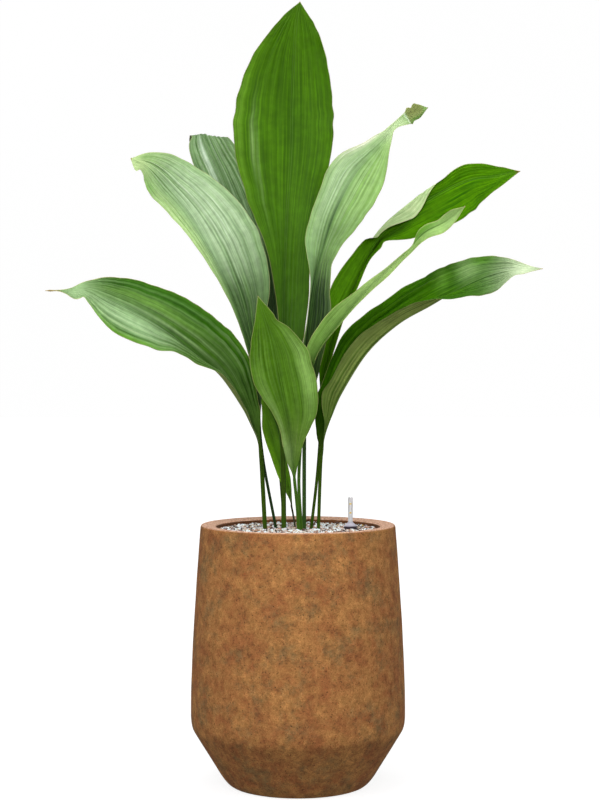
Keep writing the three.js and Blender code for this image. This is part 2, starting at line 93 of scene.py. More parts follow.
def mark(piece, name, values):
    """Stores one number, or one colour, for each point of a piece, for its material to read."""
    colour = values.ndim == 2
    kind = "FLOAT_COLOR" if colour else "FLOAT"
    attribute = piece.data.attributes.new(name, kind, "POINT")
    attribute.data.foreach_set("color" if colour else "value", values.astype(np.float32).ravel())


def turned(name, profile, sides, centre=(0, 0), crisp=30, waver=None):
    """A skin from a profile of [radius, height] rows carried round the upright line through centre. Rows at
    radius 0 close to one point on the axis. A profile that doesn't end on the axis closes on itself.
    waver gives what to add to the radius from arrays of turn and height."""
    radius, height = np.array(profile, float).T
    turn = np.arange(sides) * 2 * np.pi / sides
    reach = np.repeat(radius[:, None], sides, 1)
    if waver is not None:
        reach = reach + np.where(reach > 0, waver(turn[None, :], height[:, None]), 0)
    points = np.stack([centre[0] + reach * np.cos(turn), centre[1] + reach * np.sin(turn),
                       np.repeat(height[:, None], sides, 1)], -1).reshape(-1, 3)
    here = np.arange(sides)
    after = (here + 1) % sides
    rows = len(radius)
    faces = []
    for k in range(rows if radius[0] > 0 else rows - 1):
        low, high = k * sides, (k + 1) % rows * sides
        if radius[k] == 0:
            faces += np.stack([here * 0 + low, high + after, high + here], 1).tolist()
        elif radius[(k + 1) % rows] == 0:
            faces += np.stack([low + here, low + after, here * 0 + high], 1).tolist()
        else:
            faces += np.stack([low + here, low + after, high + after, high + here], 1).tolist()
    used = np.unique(np.concatenate([np.array(face) for face in faces]))
    place = np.full(len(points), -1)
    place[used] = np.arange(len(used))
    return skin(name, points[used], [place[face].tolist() for face in faces], crisp)


def srgb(red, green, blue):
    """A colour in shader numbers from its three screen values of 0 to 255."""
    share = np.array([red, green, blue]) / 255
    return (*np.where(share > 0.04, ((share + 0.055) / 1.055) ** 2.4, share / 12.92).tolist(), 1.0)


def add(tree, kind, settings=(), output=0, **inputs):
    """A new node in a tree, with its settings and its inputs, each a value or another node's output. Gives
    back one of its own outputs."""
    made = tree.nodes.new(kind)
    for key, value in dict(settings).items():
        setattr(made, key, value)
    for key, value in inputs.items():
        socket = made.inputs[key.replace("_", " ")]
        if isinstance(value, bpy.types.NodeSocket):
            tree.links.new(value, socket)
        else:
            socket.default_value = value
    return made.outputs[output]


def mixed(tree, share, first, second, how="MIX"):
    """The first colour where share is 0 and the second where it is 1, or blended how the mix says."""
    made = tree.nodes.new("ShaderNodeMix")
    made.data_type = "RGBA"
    made.blend_type = how
    for place, value in ((0, share), (6, first), (7, second)):
        if isinstance(value, bpy.types.NodeSocket):
            tree.links.new(value, made.inputs[place])
        else:
            made.inputs[place].default_value = value
    return made.outputs[2]


def ramp(tree, value, *stops):
    """Colours along a value, from stops of (value, colour or grey)."""
    made = tree.nodes.new("ShaderNodeValToRGB")
    tree.links.new(value, made.inputs[0])
    band = made.color_ramp
    while len(band.elements) < len(stops):
        band.elements.new(0.5)
    for element, (place, colour) in zip(band.elements, stops):
        element.position = place
        element.color = colour if isinstance(colour, tuple) else (colour, colour, colour, 1)
    return made.outputs["Color"]


def noise(tree, place, size, detail=4.0, rough=0.55):
    """Cloudy values from 0 to 1 whose spots are about size metres across."""
    return add(tree, "ShaderNodeTexNoise", Vector=place, Scale=1 / size, Detail=detail, Roughness=rough)


def place_on(tree):
    """Where a spot of the surface lies, in metres."""
    return add(tree, "ShaderNodeTexCoord", output="Object")


def stored(tree, name, kind="Fac"):
    """What mark stored under a name: a number, or a colour if kind is Color."""
    return add(tree, "ShaderNodeAttribute", {"attribute_name": name}, kind)


def overlaid(tree, share, colour, field, *stops):
    """A colour made darker and lighter, by a share, with the greys that the stops give a field."""
    return mixed(tree, share, colour, ramp(tree, field, *stops), "OVERLAY")


def material(name, **plain):
    """A material with one Principled shader, its plain settings set. Returns it with its tree."""
    made = bpy.data.materials.new(name)
    made.use_nodes = True
    for key, value in plain.items():
        made.node_tree.nodes["Principled BSDF"].inputs[key.replace("_", " ")].default_value = value
    return made, made.node_tree


def coat(made, relief=None, **fields):
    """Links fields to a material's shader and returns the material. Relief is a height from 0 to 1, the
    metres that it stands for, and its strength."""
    tree = made.node_tree
    shader = tree.nodes["Principled BSDF"]
    for key, field in fields.items():
        tree.links.new(field, shader.inputs[key.replace("_", " ")])
    if relief:
        height, depth, strength = relief
        bump = add(tree, "ShaderNodeBump", Strength=strength, Distance=depth, Height=height)
        tree.links.new(bump, shader.inputs["Normal"])
    return made


def dress(piece, finish):
    """Gives a piece its one finish."""
    piece.data.materials.clear()
    piece.data.materials.append(finish)


def uneven(turn, height):
    """A slow waver of the cast wall: waves of several lengths round the pot and up it, added together."""
    waves = ((3, 21, 0.4), (5, -34, 2.1), (8, 55, 4.0), (13, -89, 1.3), (21, 144, 5.2))
    return cast_unevenness * sum(np.sin(a * turn + b * height + c) for a, b, c in waves) / len(waves)


planter_profile = np.vstack([
    [[0, 0]], straight((0, 0), (0.079, 0), 4),
    bend([(0.079, 0), (0.086, 0), (0.097, 0.018)], 12),
    straight((0.097, 0.018), (0.1266, 0.0664), 16),
    bend([(0.1266, 0.0664), (0.130, 0.072), (belly_radius, crease_height)], 12),
    bend([(belly_radius, crease_height), (0.131, 0.130), (0.126, 0.220), (lip_radius, planter_top - 0.004)],
         54)[1:],
    bend([(lip_radius, planter_top - 0.004), (lip_radius - 0.0002, planter_top),
          (lip_radius - lip_round, planter_top)], 8)[1:],
    straight((lip_radius - lip_round, planter_top), (0.103, rim_height), 6),
    bend([(mouth_radius + 0.004, rim_height), (mouth_radius + 0.0002, planter_top - 0.0018),
          (mouth_radius, mouth_height)], 8),
    straight((mouth_radius, mouth_height), (0.100, 0.288), 4),
    [[0.100, 0.288], [0.113, 0.270], [0.120, 0.180], [belly_radius - wall_thickness, 0.088],
     [0.1189, 0.071], [0.0893, 0.0227], [0.082, inner_floor], [0, inner_floor]],
])
planter = turned("planter_body", planter_profile, planter_sides, waver=uneven, crisp=40)
spots = np.array([v.co for v in planter.data.vertices])
away = np.hypot(spots[:, 0], spots[:, 1])
on_lip = np.clip((spots[:, 2] - rim_height) / 0.0008, 0, 1)
on_mouth = np.clip((spots[:, 2] - mouth_height) / 0.002, 0, 1)
on_rim = np.where(away > lip_radius - lip_round, on_lip, on_mouth) * (away > mouth_radius - 0.0005)
mark(planter, "rim", on_rim)
# Marks the inner wall below the mouth, which is painted darker as shade.
mark(planter, "inside", ((away < mouth_radius + 0.001) & (spots[:, 2] > 0.28)).astype(float))


def stained_stone():
    """Rust-brown stain: ochre with drifts of red-brown and grey-olive, feathery clouds, dark smudges, fine
    grain, dark and red specks. The rim is rubbed pale and pink with small pits, and the inner wall is
    painted darker as shade."""
    made, tree = material("stained_stone", Roughness=0.88, Specular_IOR_Level=0.25)
    place = place_on(tree)

    def drift(shift, size, detail, rough, *stops):
        """Tones or shares between the stops, in soft areas of about size metres. shift picks the clouds."""
        moved = add(tree, "ShaderNodeMapping", Vector=place, Location=shift)
        return ramp(tree, noise(tree, moved, size, detail, rough), *stops)

    red_brown = drift((3, 1, 2), 0.026, 9.0, 0.76, (0.42, 0.0), (0.60, 0.8))
    colour = mixed(tree, red_brown, srgb(172, 121, 68), srgb(142, 85, 49))
    olive = drift((7, 5, 1), 0.032, 9.0, 0.76, (0.50, 0.0), (0.64, 0.75))
    colour = mixed(tree, olive, colour, srgb(118, 97, 62))
    clouds = drift((0, 4, 6), 0.009, 12.0, 0.8, (0.32, 0.26), (0.5, 0.5), (0.68, 0.72))
    colour = mixed(tree, 1.0, colour, clouds, "OVERLAY")
    smudges = drift((5, 2, 8), 0.006, 6.0, 0.7, (0.57, 0.0), (0.70, 0.7))
    colour = mixed(tree, smudges, colour, srgb(92, 56, 32))
    grain = noise(tree, place, 0.0015, 3.0, 0.75)
    colour = overlaid(tree, 0.6, colour, grain, (0.3, 0.28), (0.5, 0.52), (0.7, 0.78))
    dark_specks = drift((0, 0, 0), 0.0019, 2.0, 0.5, (0.29, 0.9), (0.36, 0.0))
    colour = mixed(tree, dark_specks, colour, srgb(64, 42, 26))
    red_specks = drift((2, 9, 4), 0.0019, 1.0, 0.5, (0.70, 0.0), (0.75, 0.7))
    colour = mixed(tree, red_specks, colour, srgb(164, 78, 46))
    pitted = drift((1, 1, 1), 0.0026, 5.0, 0.65, (0.36, srgb(152, 106, 80)),
                   (0.50, srgb(206, 163, 136)), (0.66, srgb(225, 188, 164)))
    colour = mixed(tree, stored(tree, "rim"), colour, pitted)
    # Painted shade: the inner wall, in the shade inside the mouth, is painted darker.
    darker = drift((6, 3, 3), 0.013, 9.0, 0.74, (0.35, srgb(70, 40, 20)), (0.65, srgb(120, 76, 44)))
    colour = mixed(tree, stored(tree, "inside"), colour, darker)
    return coat(made, (grain, 0.0005, 0.45), Base_Color=colour)


dress(planter, stained_stone())
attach(planter, "root")
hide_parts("planter")


# The fill under the pumice: fired clay granules where the water stands, and peaty soil above them. Both are
# poured in loose. The rootstock creeps through the top of the soil, and the stalks rise from its knobs.
def grains(tree, size):
    """Cells of about size metres: each one's random value, and how far a spot is from its cell's middle."""
    distance = add(tree, "ShaderNodeTexVoronoi", output="Distance", Vector=place_on(tree), Scale=1 / size)
    return add(tree, "ShaderNodeSeparateColor", Color=distance.node.outputs["Color"]), distance


def loose_fill(name, dark, light, size, depth):
    """Grains of a loose fill, rounded on top, each its own tone between dark and light."""
    made, tree = material(name, Roughness=0.95, Specular_IOR_Level=0.2)
    value, distance = grains(tree, size)
    round_top = ramp(tree, distance, (0.0, 1.0), (0.7, 0.0))
    return coat(made, (round_top, depth, 0.6), Base_Color=ramp(tree, value, (0.0, dark), (1.0, light)))


for node, name, dark, light, size, depth in (
    ("drainage_layer", "clay_granules", (96, 54, 38), (158, 98, 70), 0.009, 0.003),
    ("potting_soil", "peat_soil", (30, 20, 13), (78, 56, 38), 0.0035, 0.0015),
    ("rootstock", "root_bark", (150, 118, 74), (196, 168, 118), 0.004, 0.0006),
):
    dress(nodes[node], loose_fill(name, srgb(*dark), srgb(*light), size, depth))


# The pumice topping: crushed white, cream, pink and grey-brown chips poured over the soil, lying at all
# angles. The bed is the mass of chips below, painted darker at the borders of its cells as the shade between
# them, and each chip of the top layer is a stone of its own.
pumice_tones = (
    (0.32, srgb(238, 246, 248)), (0.14, srgb(214, 202, 186)), (0.12, srgb(224, 208, 198)),
    (0.13, srgb(186, 150, 128)), (0.08, srgb(142, 124, 122)), (0.10, srgb(92, 70, 62)),
    (0.09, srgb(54, 42, 38)), (0.02, srgb(204, 172, 104)),
)
chip_spacing = 0.0031
usual_chip = 0.0019
smallest_chip = 0.0011
largest_chip = 0.0033
chip_reach = mouth_radius - 0.0026
bed_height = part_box("pumice_topping")[1].z - 0.0017


def pumice_bed():
    """Chips between the upper ones: cells of the same tones, painted darker towards their borders as the
    shade in the gaps.
    """
    made, tree = material("pumice_bed", Roughness=0.95, Specular_IOR_Level=0.2)
    value, distance = grains(tree, 0.0042)
    starts = np.cumsum([0] + [share for share, _ in pumice_tones])
    colour = ramp(tree, value, *[(float(start), tint) for start, (_, tint) in zip(starts, pumice_tones)])
    # Painted shade: each cell is darker towards its border, where the gaps between chips lie in shade.
    gap_shade = ramp(tree, distance, (0.30, 0.7), (0.70, 0.12))
    return coat(made, (gap_shade, 0.002, 0.7), Base_Color=mixed(tree, 1.0, colour, gap_shade, "MULTIPLY"))


def icosahedron():
    """The 12 points and 20 faces that a chip starts from."""
    golden = (1 + 5**0.5) / 2
    points = np.array([[-1, golden, 0], [1, golden, 0], [-1, -golden, 0], [1, -golden, 0],
                       [0, -1, golden], [0, 1, golden], [0, -1, -golden], [0, 1, -golden],
                       [golden, 0, -1], [golden, 0, 1], [-golden, 0, -1], [-golden, 0, 1]], float)
    faces = np.array([[0, 11, 5], [0, 5, 1], [0, 1, 7], [0, 7, 10], [0, 10, 11], [1, 5, 9], [5, 11, 4],
                      [11, 10, 2], [10, 7, 6], [7, 1, 8], [3, 9, 4], [3, 4, 2], [3, 2, 6], [3, 6, 8],
                      [3, 8, 9], [4, 9, 5], [2, 4, 11], [6, 2, 10], [8, 6, 7], [9, 8, 1]])
    return points / np.linalg.norm(points[0]), faces


def turns(rng, count):
    """Random rotation matrices, from random unit quaternions."""
    q = rng.normal(size=(count, 4))
    w, x, y, z = (q / np.linalg.norm(q, axis=1, keepdims=True)).T
    return np.stack([1 - 2 * (y * y + z * z), 2 * (x * y - z * w), 2 * (x * z + y * w),
                     2 * (x * y + z * w), 1 - 2 * (x * x + z * z), 2 * (y * z - x * w),
                     2 * (x * z - y * w), 2 * (y * z + x * w), 1 - 2 * (x * x + y * y)], 1).reshape(-1, 3, 3)


def chip_layer(stalk_spots, gauge_spot, gauge_clear):
    """Chips on a six-sided grid of places, each shifted, sized, stretched, turned and knocked out of round
    at random. Those that would cut a stalk, the gauge or the planter's wall are left out."""
    rng = np.random.default_rng(7)
    side = int(mouth_radius / chip_spacing) + 2
    i, j = np.meshgrid(np.arange(-side, side + 1), np.arange(-side, side + 1))
    x = (i + 0.5 * (j % 2)).ravel() * chip_spacing
    y = j.ravel() * chip_spacing * 0.75**0.5
    x = x + rng.uniform(-0.35, 0.35, x.size) * chip_spacing
    y = y + rng.uniform(-0.35, 0.35, y.size) * chip_spacing
    size = np.clip(rng.lognormal(math.log(usual_chip), 0.28, x.size), smallest_chip, largest_chip)
    free = np.hypot(x, y) + 0.8 * size < chip_reach
    for spot_x, spot_y, clear in [*stalk_spots, (*gauge_spot, gauge_clear)]:
        free &= np.hypot(x - spot_x, y - spot_y) > clear + 0.75 * size
    x, y, size = x[free], y[free], size[free]
    z = bed_height + rng.uniform(-0.0012, 0.0011, x.size)
    ball, faces = icosahedron()
    count = x.size
    knocked = ball[None] * rng.uniform(0.72, 1.12, (count, 12, 1))
    stretched = knocked * rng.uniform(0.62, 1.15, (count, 1, 3))
    points = np.einsum("nij,nkj->nki", turns(rng, count), stretched) * size[:, None, None]
    points += np.stack([x, y, z], 1)[:, None, :]
    corners = (faces[None] + 12 * np.arange(count)[:, None, None]).reshape(-1, 3)
    made = skin("pumice_chips", points.reshape(-1, 3), corners.tolist(), crisp=10)
    picked = np.searchsorted(np.cumsum([share for share, _ in pumice_tones])[:-1], rng.random(count))
    tint = np.array([colour for _, colour in pumice_tones])[picked]
    tint[:, :3] *= rng.uniform(0.82, 1.06, (count, 1))
    mark(made, "tone", np.repeat(tint, 12, 0))
    return made


def chip_stone():
    """Porous stone: each chip's own tone, with small darker pores."""
    made, tree = material("chip_stone", Roughness=0.9, Specular_IOR_Level=0.25)
    pores = noise(tree, place_on(tree), 0.0009, 3.0, 0.6)
    shade = ramp(tree, pores, (0.30, 0.62), (0.46, 1.0))
    tone = mixed(tree, 1.0, stored(tree, "tone", "Color"), shade, "MULTIPLY")
    return coat(made, (pores, 0.0003, 0.5), Base_Color=tone)


# Where each stalk comes through the pumice, and its half thickness, in millimetres.
millimetre = 0.001
stalk_places = ((-17.3, 15, 309, 3.05), (-27, 15, 309, 1.8), (-16.5, 40, 309, 2), (7.5, 2, 309, 2.4),
                (16, 10, 309, 1.9), (4.4, -8, 309, 2), (24.6, -4, 309, 2.1), (-40.2, 4, 309, 2.7),
                (0.8, -16, 309, 2), (-4, 24, 312, 1.2))
gauge_low, gauge_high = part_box("gauge_tube")
gauge_centre = ((gauge_low.x + gauge_high.x) / 2, (gauge_low.y + gauge_high.y) / 2)
flange_radius = (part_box("gauge_flange")[1].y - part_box("gauge_flange")[0].y) / 2

dress(nodes["pumice_topping"], pumice_bed())
stalk_spots = np.array(stalk_places)[:, [0, 1, 3]] * millimetre
chips = chip_layer(stalk_spots, gauge_centre, flange_radius + 0.001)
dress(chips, chip_stone())
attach(chips, "root")


# The water gauge: a long dark cup in the fill holds the float, and only its head shows. On the pumice lies a
# dark moulded flange with a gripped edge, on it a milky cone, and in that a frosted tube with two printed
# marks. The red end of the float's rod shows inside the tube.
tube_radius = (gauge_high.x - gauge_low.x) / 2
tube_bore = 0.002
tube_end = gauge_high.z
end_round = 0.0009
float_radius = 0.0038
rod_radius = 0.0013
flange_low, flange_high = (corner.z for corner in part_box("gauge_flange"))
collar_low, collar_high = (corner.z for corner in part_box("gauge_collar"))
mark_heights = (0.3411, 0.3302)
mark_half_height = 0.0008
mark_half_turn = 26
grip_count = 30


def gripped(turn, height):
    """Small scallops round the flange's edge, which fade out above and below it."""
    middle = np.exp(-(((height - 0.5 * (flange_low + flange_high)) / 0.0011) ** 2))
    return -0.0003 * middle * (0.5 + 0.5 * np.cos(grip_count * turn))


def moulded(name, colour, roughness):
    """Moulded plastic with a faint mould grain, a little uneven in tone."""
    made, tree = material(name, Roughness=roughness, Specular_IOR_Level=0.5)
    place = place_on(tree)
    light = tuple(min(1.0, 1.35 * v) for v in colour[:3]) + (1.0,)
    tone = ramp(tree, noise(tree, place, 0.006, 3.0, 0.5), (0.3, colour), (0.75, light))
    return coat(made, (noise(tree, place, 0.0004, 2.0, 0.5), 0.00005, 0.4), Base_Color=tone)


def milky_plastic(name, tint, roughness, clear):
    """Milky moulded plastic that lets a share of the light through, faintly clouded inside."""
    made, tree = material(name, Roughness=roughness, IOR=1.49, Transmission_Weight=clear)
    faint = tuple(0.93 * v for v in tint[:3]) + (1.0,)
    cloud = noise(tree, place_on(tree), 0.004, 2.0, 0.5)
    return coat(made, Base_Color=ramp(tree, cloud, (0.35, tint), (0.7, faint)))


bore = 0.0018
flange_edge = [(flange_radius - 0.0012, flange_low), (flange_radius, flange_low + 0.0003),
               (flange_radius, flange_low + 0.0014), (flange_radius - 0.0001, flange_high - 0.0008),
               (flange_radius - 0.0012, flange_high)]
flange = turned("gauge_flange_fine", [(bore, flange_low), *flange_edge, (bore, flange_high)], 180,
                gauge_centre, 35, gripped)
dress(flange, moulded("dark_plastic", srgb(50, 40, 50), 0.5))
collar_wide = (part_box("gauge_collar")[1].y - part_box("gauge_collar")[0].y) / 2
collar = turned("gauge_collar_fine", np.vstack([
    [(tube_radius + 0.0003, collar_low)],
    [(collar_wide, collar_low), (collar_wide, collar_low + 0.0006)],
    bend([(collar_wide - 0.0007, collar_low + 0.0014), (0.0052, collar_low + 0.0028),
          (0.0038, collar_low + 0.0039), (tube_radius + 0.0006, collar_high - 0.0004)], 12),
    [(tube_radius + 0.0005, collar_high), (tube_radius + 0.0003, collar_high)],
]), 72, gauge_centre, 35)
dress(collar, milky_plastic("smoked_plastic", srgb(192, 188, 202), 0.35, 0.12))
tube = turned("gauge_tube_fine", np.vstack([
    [(tube_bore, gauge_low.z), (tube_radius, gauge_low.z), (tube_radius, tube_end - end_round)],
    bend([(tube_radius, tube_end - end_round), (tube_radius, tube_end),
          (tube_radius - end_round, tube_end)], 6)[1:],
    [(0.0008, tube_end), (0.0008, tube_end - 0.001)],
    bend([(tube_bore - 0.0006, tube_end - 0.001), (tube_bore, tube_end - 0.001),
          (tube_bore, tube_end - 0.0018)], 4),
]), 64, gauge_centre, 35)
dress(tube, milky_plastic("frosted_plastic", srgb(244, 244, 246), 0.3, 0.35))
float_low, float_high = (corner.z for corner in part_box("gauge_float"))
rod = turned("gauge_float_fine", np.vstack([
    [(0, float_low), (float_radius, float_low), (float_radius, 0.052), (rod_radius, 0.056),
     (rod_radius, float_high - end_round)],
    bend([(rod_radius, float_high - end_round), (rod_radius, float_high),
          (rod_radius - end_round, float_high)], 5)[1:],
    [(0, float_high)],
]), 40, gauge_centre, 35)
dress(rod, moulded("red_plastic", srgb(200, 48, 24), 0.35))


def printed_marks():
    """Two short printed bars on the tube's front: curved strips that stand 0.05 mm proud of it."""
    turn = np.radians(np.linspace(-90 - mark_half_turn, -90 + mark_half_turn, 9))
    points, faces = [], []
    for height in mark_heights:
        for reach, lift in ((0, -1), (5e-5, -1), (5e-5, 1), (0, 1)):
            ring = np.stack([gauge_centre[0] + (tube_radius + reach) * np.cos(turn),
                             gauge_centre[1] + (tube_radius + reach) * np.sin(turn),
                             np.full(turn.size, height + lift * mark_half_height)], 1)
            points.append(ring)
    count = turn.size
    for block in range(len(mark_heights)):
        base = 4 * count * block
        for k in range(4):
            low, high = base + k * count, base + (k + 1) % 4 * count
            step = np.arange(count - 1)
            faces += np.stack([low + step, low + step + 1, high + step + 1, high + step], 1).tolist()
        faces.append([base + k * count for k in range(4)])
        faces.append([base + k * count + count - 1 for k in (3, 2, 1, 0)])
    return skin("gauge_marks", np.vstack(points), faces, 30)


marks = printed_marks()
dress(marks, moulded("yellow_print", srgb(226, 192, 60), 0.5))
for piece, node, finish in ((flange, "gauge_flange", "gauge_dark"), (collar, "gauge_collar", "gauge_clear"),
                            (tube, "gauge_tube", "gauge_clear"), (rod, "gauge_float", "gauge_float")):
    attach(piece, "root")
    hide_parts(node)
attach(marks, "root")
dress(nodes["gauge_shaft"], moulded("dark_shaft_plastic", srgb(58, 58, 62), 0.55))


# The leaves: each is one blade that tapers into its own stalk. The blade is thin and leathery, with a
# channel along the midrib, parallel veins that run together at both ends, and a thin dry margin. The stalk
# is round with a shallow channel. Every leaf is made the same way, from its own stations.
leaf_half_thickness = 0.00028
rings_per_stalk_step = 5
rings_per_blade_step = 11
points_per_half = 64
fold_relief = 0.6
rib_round = 0.05
roll_radius = 0.0016
wave_height = 0.0016
wave_stations = 2.3
ruffle_height = 0.0008
full_wave_width = 0.030
rib_half_width = 0.0016
groove_depth = 0.00055
keel_depth = 0.0005
veined_width = 0.025
pleated_width = 0.020
midrib_band = 0.0045


def smooth(rows, u):
    """Values at the places u along rows of values: the Catmull-Rom cubic through the four rows round each
    place, with the rows carried on in a straight line past both ends."""
    wide = np.vstack([2 * rows[0] - rows[1], rows, 2 * rows[-1] - rows[-2]])
    i = np.clip(u.astype(int), 0, len(rows) - 2)
    f = (u - i)[:, None]
    a, b, c, d = (wide[i + k] for k in range(4))
    return b + 0.5 * f * (c - a + f * (2 * a - 5 * b + 4 * c - d + f * (3 * b - a - 3 * c + d)))


def unit(rows):
    """Each row at length 1."""
    return rows / np.linalg.norm(rows, axis=-1, keepdims=True)


def ease(share):
    """A soft step: 0 below 0, 1 above 1, and 3 share squared less 2 share cubed between."""
    share = np.clip(share, 0, 1)
    return share * share * (3 - 2 * share)


def ripple(rng, along, slow, fast, count):
    """A random wavy value of about -1 to 1 along an array: cosines of random pitch between slow and fast
    cycles, added together."""
    pitch = rng.uniform(slow, fast, count)
    start = rng.uniform(0, 2 * np.pi, count)
    return np.cos(2 * np.pi * along[..., None] * pitch + start).sum(-1) / count**0.5


def bells(station, hand, entries):
    """Local changes on one half of a blade. Each entry is (station, hand, reach, amount), and adds a bell of
    that amount round its station where hand, -1 for the left half and 1 for the right, is the same. The
    reach is in stations and the amount in millimetres."""
    return sum((amount * np.exp(-(((station - place) / reach) ** 2))
                for place, side, reach, amount in entries if side == hand), 0 * station)


def lay_rings(order, stalk, blade):
    """Rings along a leaf, closer together on the blade. At each, the smooth cubic through the stations gives
    the midrib point, the half widths, the way the upper side faces, and the folds."""
    *spot, stem = stalk_places[order]
    stalk = [stalk[0], spot, *stalk[1:]]
    foot = [stem, stem, blade[0][5], blade[0][6], 0, 0]
    rows = np.array([[*point, *foot] for point in stalk] + [list(row) for row in blade], float)
    rows[:, :5] *= millimetre
    first, last = len(stalk), len(rows) - 1
    u = np.concatenate([np.linspace(0, first, first * rings_per_stalk_step, endpoint=False),
                        np.linspace(first, last, (last - first) * rings_per_blade_step + 1)])
    values = smooth(rows, u)
    lay = SimpleNamespace(station=(u - first)[:, None], count=last - first, middle=values[:, None, :3])
    lay.left, lay.right, azimuth, elevation, left_fold, right_fold = values[:, 3:].T[..., None]
    lay.left_fold, lay.right_fold, az, el = np.radians((left_fold, right_fold, azimuth, elevation))
    place = rows[:, :3]
    along = unit(smooth(place, np.minimum(u + 0.01, last)) - smooth(place, np.maximum(u - 0.01, 0)))[:, None]
    face = np.stack([np.sin(az) * np.cos(el), -np.cos(az) * np.cos(el), np.sin(el)], -1)
    lay.face = unit(face - (face * along).sum(-1, keepdims=True) * along)
    lay.side = np.cross(along, lay.face)
    lay.flat = np.clip((lay.station + 1) / 2, 0, 1)
    lay.t = np.clip(lay.station / lay.count, 0, 1)
    lay.past_foot = ease((lay.station - 1) / 2.5)
    lay.stem = stem * millimetre
    return lay


def bend_half(lay, rng, order, hand, bumps, rolls):
    """One half of the sheet from the midrib out. At share v of its width it stands at the angle fold times
    (1 - fold_relief v), eased in from 0 beside the midrib. Its points are the running sums of that angle's
    cosine, outward, and sine, towards the upper side. Then the margin rises and falls in slow waves.
    A roll, (hand, first station, last station, millimetres there and there, degrees), turns what lies beyond
    that distance from the midrib over, round roll_radius."""
    width, fold = (lay.left, lay.left_fold) if hand < 0 else (lay.right, lay.right_fold)
    ragged = 1 + 0.010 * lay.flat * ripple(rng, lay.station, 0.8, 2.6, 4)
    width = np.maximum(width * ragged + bells(lay.station, hand, bumps) * millimetre, 0.0003)
    v = np.linspace(0, 1, points_per_half + 1)[None]
    between = (v[:, 1:] + v[:, :-1]) / 2

    def angle(share):
        bent = fold * (1 - fold_relief * share) * ease(share / rib_round)
        for _, first, last, near, far, over in (roll for roll in rolls if roll[0] == hand):
            along = (lay.station - first) / (last - first)
            beyond = share * width - (near + (far - near) * np.clip(along, 0, 1)) * millimetre
            strength = ease(6 * along) * ease(6 * (1 - along))
            bent = bent + np.radians(over) * strength * ease(beyond / (np.pi * roll_radius))
        return bent

    step = width / points_per_half
    out = np.concatenate([0 * width, np.cumsum(np.cos(angle(between)) * step, 1)], 1)
    up = np.concatenate([0 * width, np.cumsum(np.sin(angle(between)) * step, 1)], 1)
    broad = np.minimum(1, width / full_wave_width) * lay.flat
    wave = np.sin(2 * np.pi * lay.station / wave_stations + 1.7 * order)
    lift = wave_height * wave * v**2 * broad
    lift = lift + ruffle_height * ripple(rng, lay.station, 0.6, 1.7, 4) * v**4 * broad
    turn = angle(v)[..., None]
    points = lay.middle + lay.side * (hand * out)[..., None] + lay.face * (up + lift)[..., None]
    normals = lay.face * np.cos(turn) - hand * lay.side * np.sin(turn)
    return points, normals, width + 0 * v


def join(left, right):
    """Columns from the left margin to the right one, from two halves that both start at the midrib."""
    return np.concatenate([left[:, ::-1], right[:, 1:]], 1)


def crease(lay, rng, pleat_depth, pleat_pitch, lines):
    """The blade's relief, pleat_depth in millimetres: broad pleats, from waves of random pitch across, and
    narrow furrows over the main veins, from bells at random places. Both sway a little, and grow and fade
    along the blade."""
    s, v = lay.s, lay.v
    sway = s + 0.018 * ripple(rng, lay.station, 0.15, 0.5, 3) * s * (1 - v)
    strength = 0.75 + 0.35 * ripple(rng, lay.station + 2.5 * s, 0.1, 0.4, 3)
    lay.pleats = ripple(rng, sway, 0.6 * pleat_pitch, 1.5 * pleat_pitch, 7) * strength
    places = np.linspace(-0.96, 0.96, lines) + rng.uniform(-0.8, 0.8, lines) / lines
    thin = rng.uniform(0.014, 0.026, lines)
    deep = rng.uniform(0.25, 1.0, lines)
    fade = np.stack([np.clip(0.7 + 0.5 * ripple(rng, lay.station, 0.1, 0.5, 3), 0, 1.3)[:, 0]
                     for _ in range(lines)], -1)
    lay.furrows = (deep * fade[:, None] * np.exp(-(((sway[..., None] - places) / thin) ** 2))).sum(-1)
    lay.quiet = np.clip(v / 0.06, 0, 1) * (1 - v**8) * lay.flat * np.minimum(1, lay.half / veined_width)
    broad = np.minimum(1, lay.half / pleated_width) ** 2
    return pleat_depth * millimetre * (0.75 * lay.pleats - 0.9 * lay.furrows) * lay.quiet * broad


def close_skin(lay, name, sheet, normals):
    """The leaf's skin round its middle sheet: the upper side, then the under side, which meet in one point
    at each margin. The stalk is rounded with a shallow channel above, and the midrib has a channel above and
    a keel below, both bells of rib_half_width."""
    v, flat = lay.v, lay.flat
    rib = np.exp(-((v * lay.half / rib_half_width) ** 2)) * (1 - lay.t**3)
    round_stalk = (0.9 * lay.stem - leaf_half_thickness) * np.sqrt(1 - v**2) * (1 - flat)
    thick = leaf_half_thickness * (1 - v**10) + round_stalk
    stalk_channel = 0.3 * lay.stem * (1 - ease(flat)) * np.exp(-((v / 0.4) ** 2))
    upper = sheet + normals * (thick - stalk_channel - groove_depth * ease(flat) * rib)[..., None]
    under = sheet - normals * (thick + keel_depth * flat * rib)[..., None]
    ring = np.concatenate([upper, under[:, -2:0:-1]], 1)
    rings, size = ring.shape[:2]
    i, j = np.meshgrid(np.arange(rings - 1), np.arange(size), indexing="ij")
    after = (j + 1) % size
    faces = np.stack([i * size + j, i * size + after, (i + 1) * size + after, (i + 1) * size + j], -1)
    ends = [list(range(size - 1, -1, -1)), [(rings - 1) * size + k for k in range(size)]]
    return skin(name, ring.reshape(-1, 3), faces.reshape(-1, 4).tolist() + ends)


def toward(colour, aim, share):
    """A field of colours moved towards one, given by its three screen values, by a share of 0 to 1."""
    return colour + (np.array(srgb(*aim)[:3]) - colour) * np.clip(share, 0, 1)[..., None]


